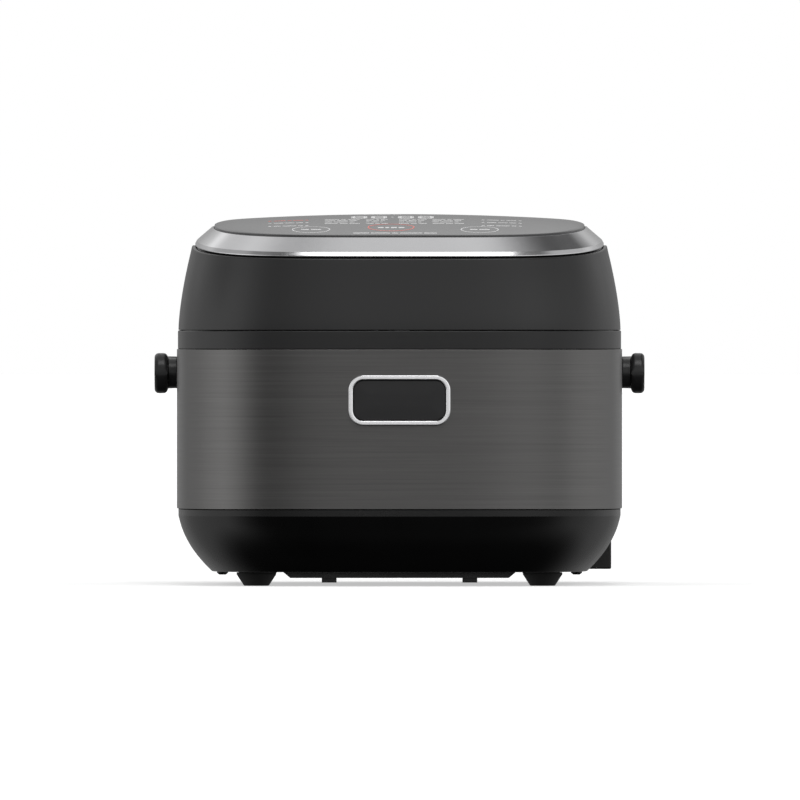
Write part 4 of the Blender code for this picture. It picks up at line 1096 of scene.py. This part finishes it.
def clock_figure(x, y, width, depth):
    """A seven-bar figure, all of its bars shown, about its middle."""
    line = width * 0.22
    gap = line * 0.2
    bars = []
    for row in (-1, 0, 1):
        middle = y + row * (depth - line) / 2
        reach = width / 2 - line * 0.6
        bars.append(bar(x - reach, x + reach, middle - line / 2, middle + line / 2))
        for side in (-1, 1):
            if row == 0:
                continue
            middle = x + side * (width - line) / 2
            ends = sorted((y + row * (line / 2 + gap), y + row * (depth / 2 - line - gap)))
            bars.append(bar(middle - line / 2, middle + line / 2, *ends))
    return bars


def words(start, end, y, lengths, line=None):
    """A row of dashes that stands for wording, fitted between two places across."""
    line = line or look().line
    space = 0.0011
    share = (end - start - space * (len(lengths) - 1)) / sum(lengths)
    dashes = []
    for length in lengths:
        dashes.append(bar(start, start + share * length, y - line / 2, y + line / 2))
        start += share * length + space
    return dashes


def make_prints():
    """White and red print: a clock, four columns of choices, two groups with lamps, three keys and a line."""
    white = []
    red = []
    for x in (-0.0244, -0.0124, 0.0039, 0.0160):
        white += clock_figure(x, 0.0850, look().figure_width, 0.0190)
    white += [dot(-0.0044, 0.0810, 0.0008), dot(-0.0044, 0.0890, 0.0008)]
    wordings = ((5, 3, 4), (3, 6, 2), (4, 4, 3), (6, 2, 5), (3, 5, 4))
    for start, end in ((-0.0452, -0.0240), (-0.0202, -0.0072), (-0.0003, 0.0165), (0.0200, 0.0390)):
        for row in range(4):
            ragged = end - 0.0016 * ((row * 2) % 3)
            white += words(start, ragged, 0.0460 + 0.0075 * row, wordings[row])
    for middle, ink in ((-0.0672, red), (0.0618, white)):
        for row in range(3):
            y = 0.0360 + 0.0155 * row
            here = ink if row == 2 else white
            here += [dot(middle - 0.0112, y, 0.0010), dot(middle + 0.0112, y, 0.0010)]
            here += words(middle - 0.0088, middle + 0.0088, y, wordings[row + 1])
    for middle in (-0.0534, 0.0485):
        white.append(key_ring(middle, 0.0205, look().key_radius, 0.0006))
        white += words(middle - 0.0060, middle + 0.0060, 0.0205, (3, 4), 0.0022)
    red.append(key_ring(-0.0051, 0.0288, look().start_radius, 0.0008))
    white += words(-0.0131, 0.0029, 0.0275, (3, 2, 3, 3), 0.0034)
    white += words(-0.0280, 0.0226, 0.0075, (5, 6, 2, 7, 4), 0.0018)
    white += words(-0.0220, 0.0010, 0.1180, (4, 5, 3), 0.0014)
    keep("white_print", together(*white), "white_ink", "lid")
    keep("red_print", together(*red), "red_ink", "lid")


# Steam vent


def make_steam_cap():
    """The pull-off steam cap: a soft-edged plate with three slots."""
    low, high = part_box("steam_cap")
    half_width = (high.x - low.x) / 2
    half_depth = (high.y - low.y) / 2
    corners = [(0.003, low.z, 0), (0, low.z, 0.0008), (0, high.z, 0.0014), (0.005, high.z, 0)]
    section = softened(corners, False)
    cap = rounded_plate(half_width, half_depth, VENT_CORNER, section)
    ends = (low.z - 0.01, high.z + 0.01)
    slots = []
    for number in (-1, 0, 1):
        slot = lofted([plate_ring(0.0015, 0.009, 0.00149, level) for level in ends], "flat")
        slots.append(placed(slot, (number * 0.009, 0, 0)))
    cap = carved(cap, *slots)
    placed(cap, (0, own_middle("steam_cap").y, 0))
    keep("steam_vent_cap", cap, "dark_plastic", "steam_cap", ["steam_cap"])


# Underside of the lid


def make_lid_underside():
    """The lower cover, the bright inner plate with its pressed rings, and the seal round it."""
    low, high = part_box("lid_lower_cover")
    inset = BODY_INSET + LID_WALL + GAP
    section = [Vector((inset + 0.0006, low.z)), Vector((inset, low.z + 0.0006)), Vector((inset, high.z))]
    cover = lofted([square_ring(across, height, 0, LID_REAR) for across, height in section], "flat")
    window = block(
        (-CATCH_WINDOW, inset + 0.0012 - HALF_DEPTH, low.z - 0.01),
        (CATCH_WINDOW, LATCH_Y + 0.0110, high.z + 0.01),
    )
    vent_y = own_middle("steam_duct").y
    duct_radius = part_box("steam_duct")[1].x
    hole = rod(duct_radius + SLACK, 0.02, Matrix.Translation((0, vent_y, low.z)), 48)
    keep("lower_cover", carved(cover, window, hole), "inner_plastic", "lid", ["lid_lower_cover"])

    plate_low, plate_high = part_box("inner_lid_plate")
    radius = plate_high.x
    top = plate_high.z
    low_face = plate_low.z
    bead = 0.0006
    rings = (radius * 0.34, radius * 0.62, radius * 0.86)
    profile = [(0.0, top, 0.0), (radius, top, 0.0003), (radius, low_face, 0.0004)]
    for ring in reversed(rings):
        profile += [(ring + 0.0030, low_face, 0.002), (ring + 0.0012, low_face - bead, 0.001)]
        profile += [(ring - 0.0012, low_face - bead, 0.001), (ring - 0.0030, low_face, 0.002)]
    profile.append((0.0, low_face, 0.0))
    disc = spun(softened(profile, False), steps=120)
    drills = []
    spread = 0.006
    for turn in turns(3):
        place = Matrix.Translation((spread * math.cos(turn), vent_y + spread * math.sin(turn), top))
        drills.append(rod(0.0025, 0.01, place, 24))
    keep("inner_plate", carved(disc, *drills), "aluminium", "lid", ["inner_lid_plate"])

    seal_low, seal_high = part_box("pot_seal")
    outer = seal_high.x
    inner = radius + GAP
    seal = softened(
        [
            (outer, seal_high.z, 0.0003),
            (outer, seal_low.z + 0.0008, 0.0012),
            (outer - 0.0025, seal_low.z, 0.0008),
            (outer - 0.0050, seal_low.z + 0.0008, 0.0006),
            (inner + 0.0022, seal_low.z + 0.0004, 0.0006),
            (inner, seal_low.z + 0.0009, 0.0004),
            (inner, seal_high.z, 0.0003),
        ]
    )
    keep("lid_seal", spun(seal, True, 120), "silicone", "lid", ["pot_seal"])


# Hinge


def arc_points(radius, start, end, steps=20):
    """Points on an arc about the origin, between two angles in degrees."""
    points = []
    for step in range(steps + 1):
        angle = math.radians(start + (end - start) * step / steps)
        points.append((radius * math.cos(angle), radius * math.sin(angle)))
    return points


def make_hinge():
    """The bracket with its two lugs, the lid's two arms, and the half-round cover between them."""
    pin = own_middle("hinge_pin")
    low, high = own_box("hinge_bracket")
    barrel = high.z - pin.z
    plate_high = COLLAR_TOP - 0.0010
    bracket = [block(low, (high.x, high.y, plate_high), 0.0006)]
    foot = plate_high - 0.0006 - pin.z
    lug_width = 0.0155
    for side in (-1, 1):
        outline = arc_points(barrel, 0, 180) + [(-barrel + 0.0012, foot), (barrel - 0.0022, foot)]
        lug = slab(outline, lug_width, 0.0007)
        bracket.append(placed(lug, (side * (high.x - lug_width / 2), pin.y, pin.z), SIDE_VIEW))
    keep("hinge_base", together(*bracket), "dark_plastic", "housing", ["hinge_bracket"])
    for side in ("left", "right"):
        low, high = own_box(f"hinge_arm_{side}")
        radius = barrel - 0.0008
        front = low.y - pin.y
        outline = arc_points(radius, -150, 150, 28)
        outline += [(front, outline[-1][1]), (front, outline[0][1])]
        arm = slab(outline, high.x - low.x, 0.0008)
        arm = placed(arm, ((low.x + high.x) / 2, pin.y, pin.z), SIDE_VIEW)
        keep(f"hinge_{side}_arm", arm, "dark_plastic", "lid", [f"hinge_arm_{side}"])
    low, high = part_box("hinge_cover")
    foot = low.z - pin.z
    wall = 0.0016
    outline = [(barrel, foot), *arc_points(barrel, 0, 180), (-barrel, foot)]
    outline += [(-barrel + wall, foot), *arc_points(barrel - wall, 180, 0), (barrel - wall, foot)]
    cover = slab(outline, high.x - low.x, 0.0004)
    cover = placed(cover, (0, pin.y, pin.z), SIDE_VIEW)
    keep("hinge_half_round", cover, "dark_plastic", "housing", ["hinge_cover"])


# Release button


def make_release_button():
    """The satin frame round the button, and the soft-edged button inside it."""
    low, high = own_box("button_frame")
    button_low, button_high = own_box("release_button")
    height = own_middle("button_frame").z
    front = low.y
    half_width = (high.x - low.x) / 2
    half_height = (high.z - low.z) / 2
    border = half_width - (button_high.x - button_low.x) / 2 - 0.0004
    depth = high.y - low.y
    proud = -HALF_DEPTH - front - GAP
    section = softened(
        [
            (0.0, -proud, 0.0002),
            (0.0, 0.0, 0.0005),
            (border, 0.0, 0.0005),
            (border, -depth, 0.0),
            (border - 0.0010, -depth, 0.0),
            (border - 0.0010, -proud, 0.0),
        ]
    )
    levels = []
    for inset, level in section:
        levels.append(plate_ring(half_width - inset, half_height - inset, BEZEL_CORNER - inset, level))
    ring = placed(lofted(levels), (0, front, height), FACING_FRONT)
    keep("button_bezel", ring, "bright_chrome", "housing", ["button_frame"])

    face = button_low.y
    half_width = (button_high.x - button_low.x) / 2
    half_height = (button_high.z - button_low.z) / 2
    corners = [(0.0020, -0.004, 0.0), (0, -0.004, 0.0003), (0, 0, 0.0009), (0.0045, 0.0001, 0)]
    section = softened(corners, False)
    section.append(Vector((0.0085, 0.0003)))
    push = rounded_plate(half_width, half_height, 0.0060, section)
    placed(push, (0, face + 0.0003, height), FACING_FRONT)
    corners = [(0, 0, 0), (0.003, 0, 0), (0.003, 0.0105, 0.0008), (0, 0.0105, 0)]
    stem = spun(softened(corners, False), steps=32)
    placed(stem, (0, face + 0.0042, height), Matrix.Rotation(-math.pi / 2, 4, "X"))
    keep("button_push", together(push, stem), "button_plastic", "release_button", ["release_button"])


# Carry handle


def make_handle():
    """The U-shaped handle: round noses at the pivots, arms that taper back, and a grip across the rear."""
    low, high = own_box("carry_handle")
    height = (low.z + high.z) / 2
    nose = (high.z - low.z) / 2
    bend = HANDLE_BEND - HANDLE_THICKNESS / 2
    arm_x = high.x - HANDLE_THICKNESS / 2
    grip_y = high.y - GRIP_THICKNESS / 2
    bend_y = grip_y - bend

    def half_height(y):
        if y < 0:
            return math.sqrt(max(nose**2 - y**2, 0))
        return nose * (1 + (GRIP_SHARE - 1) * min(y / grip_y, 1))

    stations = []
    for step in range(13):
        y = -nose * math.cos(math.radians(7.5 * step + 4)) if step < 12 else 0.0
        stations.append((arm_x, y, 1.0, 0.0, HANDLE_THICKNESS))
    for step in range(1, 12):
        stations.append((arm_x, bend_y * step / 12, 1.0, 0.0, HANDLE_THICKNESS))
    for step in range(13):
        turn = math.pi / 2 * step / 12
        wide = HANDLE_THICKNESS + (GRIP_THICKNESS - HANDLE_THICKNESS) * step / 12
        x = arm_x - bend + bend * math.cos(turn)
        y = bend_y + bend * math.sin(turn)
        stations.append((x, y, math.cos(turn), math.sin(turn), wide))
    for step in range(1, 9):
        stations.append(((arm_x - bend) * (1 - step / 8), grip_y, 0.0, 1.0, GRIP_THICKNESS))
    mirrored = [(-x, y, -out_x, out_y, wide) for x, y, out_x, out_y, wide in reversed(stations[:-1])]
    levels = []
    for x, y, out_x, out_y, wide in stations + mirrored:
        tall = max(half_height(y), 0.0009)
        corner = min(0.0026, tall * 0.95, wide / 2 * 0.95)
        level = []
        for point in plate_ring(wide / 2, tall, corner, 0.0, 6):
            level.append(Vector((x + out_x * point.x, y + out_y * point.x, height + point.y)))
        levels.append(level)
    handle = lofted(levels, "flat")
    keep("handle_bow", handle, "dark_plastic", "carry_handle", ["carry_handle"])
    make_pivots(height, arm_x - HANDLE_THICKNESS / 2 - GAP)


def make_pivots(height, boss_high):
    """The round boss on each side that the handle turns on."""
    for side, label in ((-1, "left"), (1, "right")):
        low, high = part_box(f"handle_pivot_{label}")
        inner = min(abs(low.x), abs(high.x))
        outer = max(abs(low.x), abs(high.x))
        boss_low = HALF_WIDTH + GAP
        radius = (high.z - low.z) / 2
        profile = softened(
            [
                (0.0, outer, 0.0),
                (0.0047, outer, 0.0004),
                (0.0047, boss_high, 0.0),
                (radius, boss_high, 0.0007),
                (radius, boss_low, 0.0005),
                (0.0067, boss_low, 0.0),
                (0.0067, inner, 0.0),
                (0.0, inner, 0.0),
            ],
            closed=False,
        )
        turned_by = Matrix.Rotation(side * math.pi / 2, 4, "Y")
        boss = placed(spun(profile), (0, 0, height), turned_by)
        keep(f"pivot_boss_{label}", boss, "dark_plastic", "housing", [f"handle_pivot_{label}"])


# Power inlet


def make_inlet():
    """The block low on the right-hand side, with the socket's pocket in its outer face."""
    low, high = own_box("power_inlet")
    body = block(low, high, 0.0010)
    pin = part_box("inlet_pin_front")[0]
    wall = 0.0025
    border = 0.0100
    pocket_low = (pin.x - GAP, low.y + border, low.z + wall)
    pocket_high = (high.x + 0.01, high.y - border, high.z - wall)
    pocket = block(pocket_low, pocket_high, 0.0015)
    keep("inlet_block", carved(body, pocket), "dark_plastic", "housing", ["power_inlet"])


# Stage


# The studio's brightness round the cooker, by degrees to the right of the front
LIGHT_ROUND = (
    (-180, 0.40), (-150, 0.34), (-124, 0.66), (-96, 1.05), (-66, 1.28), (-46, 1.30), (-34, 0.85),
    (-24, 0.36), (-12, 0.40), (0, 0.86), (8, 1.20), (20, 1.25), (46, 0.98), (74, 0.92), (100, 0.95),
    (124, 0.75), (150, 0.38), (180, 0.40),
)
# Its brightness overhead, by how far the direction leans to the right
LIGHT_OVERHEAD = (
    (-0.50, 0.50), (-0.46, 0.27), (-0.395, 0.73), (-0.30, 0.92), (-0.24, 0.83), (-0.16, 0.64), (-0.09, 0.55),
    (-0.03, 0.62), (0.0, 0.94), (0.05, 0.90), (0.12, 0.54), (0.165, 0.38), (0.23, 0.21), (0.31, 0.09),
    (0.40, 0.13), (0.46, 0.66), (0.50, 0.62),
)


BOX_LIGHT = 4.6  # the light box above the front
REAR_LIGHT = 0.25
BELOW_LIGHT = 0.75  # of the walls' brightness, below the horizon


class Studio(Tree):
    """The world's node tree, with the direction that it is looked at in."""

    def __init__(self):
        world = bpy.data.worlds.new("soft_studio")
        bpy.context.scene.world = world
        super().__init__(world)
        self.tree.nodes.clear()
        direction = self.add("ShaderNodeTexCoord", output="Generated")
        self.right = self.part(direction, "X")
        self.back = self.part(direction, "Y")
        self.up = self.part(direction, "Z")

    def part(self, vector, axis):
        return self.add("ShaderNodeSeparateXYZ", None, {"Vector": vector}, axis)

    def eased(self, value, start, end):
        """0 at the start, 1 at the end, eased between them."""
        sockets = {"Value": value, "From Min": start, "From Max": end}
        return self.add("ShaderNodeMapRange", {"interpolation_type": "SMOOTHSTEP"}, sockets)

    def graded(self, value, levels):
        """Follows a table of (value, brightness)."""
        start = levels[0][0]
        span = levels[-1][0] - start
        stops = [((place - start) / span, level / 2) for place, level in levels]
        ramp = self.add("ShaderNodeValToRGB", {"stops": stops}, {"Fac": (value - start) / span}, "Color")
        return self.part(ramp, "X") * 2


def light_studio():
    """Lights the cooker from all round and overhead, and shows a white background to the camera."""
    studio = Studio()
    azimuth = studio.add("ShaderNodeMath", {"operation": "ARCTAN2"}, {0: studio.right, 1: studio.back * -1.0})
    round_it = studio.graded(azimuth * (180 / math.pi), LIGHT_ROUND)
    in_front = studio.eased(studio.back, -0.25, -0.85)
    below = BELOW_LIGHT - 0.72 * in_front
    above_horizon = studio.eased(studio.up, -0.14, 0.04)
    walls = round_it * (below + (1 - below) * above_horizon) * (1 - 0.8 * studio.eased(studio.up, 0.45, 0.75))
    walls = walls * (0.04 + 0.96 * studio.eased(studio.up, -0.90, -0.50))
    top = studio.eased(studio.up, 0.28, 0.46) * studio.eased(studio.back, -0.30, -0.14)
    overhead = studio.graded(studio.right, LIGHT_OVERHEAD) * top
    box = studio.eased(studio.up, 0.74, 0.82) * studio.eased(studio.back, -0.18, -0.34)
    box = box * studio.eased(studio.right, -0.14, -0.06) * studio.eased(studio.right, 0.215, 0.145)
    behind = studio.eased(studio.back, 0.50, 0.80) * (1 - studio.eased(studio.up, 0.45, 0.60))
    behind = behind * REAR_LIGHT * studio.eased(studio.up, 0.08, 0.30)
    light = walls * (1 - top) + overhead + box * BOX_LIGHT + behind
    lit = studio.add("ShaderNodeBackground", None, {"Color": (1, 1, 1, 1), "Strength": light})
    plain = studio.add("ShaderNodeBackground", None, {"Color": (1, 1, 1, 1), "Strength": 1.0})
    camera = studio.add("ShaderNodeLightPath", output="Is Camera Ray")
    shown = studio.add("ShaderNodeMixShader", None, {0: camera, 1: lit, 2: plain})
    output = studio.tree.nodes.new("ShaderNodeOutputWorld")
    studio.feed(output.inputs["Surface"], shown)


def make_floor():
    """A wide pale floor, lit but left out of the cooker's own reflections."""
    shape = bmesh.new()
    bmesh.ops.create_circle(shape, cap_ends=True, segments=96, radius=40.0)
    mesh = bpy.data.meshes.new("pale_floor")
    shape.to_mesh(mesh)
    shape.free()
    made = Finish("pale_floor")
    speckle = made.noise(made.place(), 300.0, 2.0)
    made.set(
        Base_Color=made.between(speckle, (0.86, 0.86, 0.86), (0.88, 0.88, 0.88)),
        Roughness=0.9,
        Specular_IOR_Level=0.0,
        Emission_Color=(1, 1, 1, 1),
        Emission_Strength=0.50,
    )
    mesh.materials.append(made.material)
    floor = bpy.data.objects.new("pale_floor", mesh)
    bpy.context.scene.collection.objects.link(floor)
    floor.visible_glossy = False
    floor.visible_diffuse = False


def make_camera():
    """A very long lens, in front of the middle of the cooker."""
    lens = bpy.data.cameras.new("front_camera")
    lens.sensor_width = SENSOR_WIDTH
    lens.lens = SENSOR_WIDTH * VIEW_DISTANCE / VIEW_WIDTH
    lens.clip_start = 0.1
    lens.clip_end = 200.0
    camera = bpy.data.objects.new("front_camera", lens)
    front = MIDDLE_Y - HALF_DEPTH
    height = VIEW_HEIGHT + VIEW_DISTANCE * math.tan(VIEW_TILT)
    camera.location = (0.0003, front - VIEW_DISTANCE, height)
    camera.rotation_euler = (math.pi / 2 - VIEW_TILT, 0, 0)
    bpy.context.scene.collection.objects.link(camera)
    bpy.context.scene.camera = camera


# Add-on


class CookerLook(bpy.types.PropertyGroup):
    """The print's sizes, and the colours and gloss, that give the cooker its look."""

    line: FloatProperty(
        name="Small print", description="Height of a line of small print",
        subtype="DISTANCE", unit="LENGTH", min=0.0005, max=0.003, default=0.0016, precision=4,
    )
    key_radius: FloatProperty(
        name="Key ring", description="Radius of the ring round each side key",
        subtype="DISTANCE", unit="LENGTH", min=0.005, max=0.016, default=0.0115, precision=4,
    )
    start_radius: FloatProperty(
        name="Start ring", description="Radius of the ring round the start key",
        subtype="DISTANCE", unit="LENGTH", min=0.008, max=0.018, default=0.0142, precision=4,
    )
    figure_width: FloatProperty(
        name="Clock figure", description="Width of each figure of the clock",
        subtype="DISTANCE", unit="LENGTH", min=0.004, max=0.0115, default=0.0096, precision=4,
    )
    lid: FloatVectorProperty(
        name="Lid plastic", description="Colour of the lid, the collar and the handle",
        subtype="COLOR", size=3, min=0, max=1, default=(0.016, 0.016, 0.0165),
    )
    lid_roughness: FloatProperty(
        name="Lid roughness", description="How matt the lid's plastic is",
        subtype="FACTOR", min=0, max=1, default=0.34,
    )
    base: FloatVectorProperty(
        name="Base plastic", description="Colour of the tapered base",
        subtype="COLOR", size=3, min=0, max=1, default=(0.0022, 0.0022, 0.0023),
    )
    button: FloatVectorProperty(
        name="Button plastic", description="Colour of the release button",
        subtype="COLOR", size=3, min=0, max=1, default=(0.026, 0.026, 0.027),
    )
    steel: FloatVectorProperty(
        name="Steel", description="Colour of the brushed steel round the body",
        subtype="COLOR", size=3, min=0, max=1, default=(0.150, 0.148, 0.146),
    )
    steel_roughness: FloatProperty(
        name="Steel roughness", description="How matt the brushed steel is",
        subtype="FACTOR", min=0, max=1, default=0.36,
    )
    chrome: FloatVectorProperty(
        name="Satin chrome", description="Colour of the ring and of the button's frame",
        subtype="COLOR", size=3, min=0, max=1, default=(0.62, 0.62, 0.63),
    )
    chrome_roughness: FloatProperty(
        name="Chrome roughness", description="How matt the satin chrome is",
        subtype="FACTOR", min=0, max=1, default=0.17,
    )
    glass: FloatVectorProperty(
        name="Panel glass", description="Colour behind the touch glass",
        subtype="COLOR", size=3, min=0, max=1, default=(0.045, 0.045, 0.047),
    )
    glass_roughness: FloatProperty(
        name="Glass roughness", description="How matt the touch glass is",
        subtype="FACTOR", min=0, max=1, default=0.20,
    )
    legend: FloatVectorProperty(
        name="Print", description="Colour of the print on the glass",
        subtype="COLOR", size=3, min=0, max=1, default=(0.80, 0.80, 0.80),
    )
    start: FloatVectorProperty(
        name="Start print", description="Colour of the oval round the start key",
        subtype="COLOR", size=3, min=0, max=1, default=(0.80, 0.20, 0.16),
    )


class COOKER_OT_base(bpy.types.Operator):
    """Makes the tapered base and its feet, and finishes what is under it"""

    bl_idname = "cooker.base"
    bl_label = "Base and Feet"

    def execute(self, context):
        make_base_housing()
        make_feet()
        dress("black_plastic", "bottom_cover", "intake_grille")
        screws = [f"base_screw_{end}_{side}" for end in ("front", "rear") for side in ("left", "right")]
        dress("black_steel", *screws)
        return {"FINISHED"}


class COOKER_OT_body(bpy.types.Operator):
    """Makes the brushed steel band and the collar with its deck"""

    bl_idname = "cooker.body"
    bl_label = "Steel Band and Collar"

    def execute(self, context):
        make_steel_wrap()
        make_collar()
        return {"FINISHED"}


class COOKER_OT_pot(bpy.types.Operator):
    """Makes the coated pot with its level marks, and finishes the chamber round it"""

    bl_idname = "cooker.pot"
    bl_label = "Pot and Chamber"

    def execute(self, context):
        make_pot()
        dress("aluminium", "inner_chamber", "sensor_plunger")
        dress("plain_steel", "sensor_spring")
        return {"FINISHED"}


class COOKER_OT_works(bpy.types.Operator):
    """Finishes the coil, the fan, the boards and the other works inside the body"""

    bl_idname = "cooker.works"
    bl_label = "Works"

    def execute(self, context):
        dress("black_plastic", "coil_carrier", "fan_frame", "fan_rotor", "button_housing")
        dress("copper", "induction_coil")
        dress("ferrite", "ferrite_bar_1", "ferrite_bar_2", "ferrite_bar_3")
        dress("circuit_board", "power_board", "control_board")
        dress("aluminium", "heat_sink", "lid_heater")
        dress("inner_plastic", "display_module")
        dress("silicone", "steam_duct")
        dress("plain_steel", "hinge_pin", "hinge_spring", "latch_lever", "latch_pin", "latch_spring")
        dress("plain_steel", "latch_bracket", "lid_catch", "button_spring")
        dress("plain_steel", "pivot_screw_left", "pivot_screw_right")
        return {"FINISHED"}


class COOKER_OT_lid(bpy.types.Operator):
    """Makes the lid's shell and the satin ring on its rim"""

    bl_idname = "cooker.lid"
    bl_label = "Lid and Ring"

    def execute(self, context):
        make_lid_shell()
        make_chrome_ring()
        return {"FINISHED"}


class COOKER_OT_panel(bpy.types.Operator):
    """Makes the touch glass and the print on it"""

    bl_idname = "cooker.panel"
    bl_label = "Touch Glass and Print"

    def execute(self, context):
        make_glass()
        make_prints()
        return {"FINISHED"}


class COOKER_OT_vent(bpy.types.Operator):
    """Makes the steam vent's cap"""

    bl_idname = "cooker.vent"
    bl_label = "Steam Vent"

    def execute(self, context):
        make_steam_cap()
        return {"FINISHED"}


class COOKER_OT_underside(bpy.types.Operator):
    """Makes the lid's lower cover, inner plate and seal"""

    bl_idname = "cooker.underside"
    bl_label = "Lid Underside"

    def execute(self, context):
        make_lid_underside()
        return {"FINISHED"}


class COOKER_OT_hinge(bpy.types.Operator):
    """Makes the hinge bracket, the arms and the cover"""

    bl_idname = "cooker.hinge"
    bl_label = "Hinge"

    def execute(self, context):
        make_hinge()
        return {"FINISHED"}


class COOKER_OT_button(bpy.types.Operator):
    """Makes the release button and its frame"""

    bl_idname = "cooker.button"
    bl_label = "Release Button"

    def execute(self, context):
        make_release_button()
        return {"FINISHED"}


class COOKER_OT_handle(bpy.types.Operator):
    """Makes the carry handle and its pivots"""

    bl_idname = "cooker.handle"
    bl_label = "Carry Handle"

    def execute(self, context):
        make_handle()
        return {"FINISHED"}


class COOKER_OT_inlet(bpy.types.Operator):
    """Makes the power inlet and finishes its pins"""

    bl_idname = "cooker.inlet"
    bl_label = "Power Inlet"

    def execute(self, context):
        make_inlet()
        dress("brass", "inlet_pin_front", "inlet_pin_rear")
        return {"FINISHED"}


class COOKER_OT_stage(bpy.types.Operator):
    """Sets out the floor, the light and the camera"""

    bl_idname = "cooker.stage"
    bl_label = "Stage"

    def execute(self, context):
        make_floor()
        light_studio()
        make_camera()
        context.scene.view_settings.view_transform = "Standard"
        return {"FINISHED"}


OPERATORS = (
    COOKER_OT_base,
    COOKER_OT_body,
    COOKER_OT_pot,
    COOKER_OT_works,
    COOKER_OT_lid,
    COOKER_OT_panel,
    COOKER_OT_vent,
    COOKER_OT_underside,
    COOKER_OT_hinge,
    COOKER_OT_button,
    COOKER_OT_handle,
    COOKER_OT_inlet,
    COOKER_OT_stage,
)


class COOKER_PT_panel(bpy.types.Panel):
    """Lists the cooker's pieces and colours"""

    bl_idname = "COOKER_PT_panel"
    bl_label = "Rice Cooker"
    bl_space_type = "VIEW_3D"
    bl_region_type = "UI"
    bl_category = "Rice Cooker"

    def draw(self, context):
        for name in CookerLook.__annotations__:
            self.layout.prop(context.scene.cooker_look, name)
        for operator in OPERATORS:
            self.layout.operator(operator.bl_idname)


CLASSES = (CookerLook, *OPERATORS, COOKER_PT_panel)


def register():
    for each in CLASSES:
        bpy.utils.register_class(each)
    bpy.types.Scene.cooker_look = PointerProperty(type=CookerLook)


def unregister():
    del bpy.types.Scene.cooker_look
    for each in reversed(CLASSES):
        bpy.utils.unregister_class(each)


def main():
    """Builds every piece and the stage."""
    register()
    for operator in OPERATORS:
        group, name = operator.bl_idname.split(".")
        getattr(getattr(bpy.ops, group), name)()


if __name__ == "__main__":
    main()
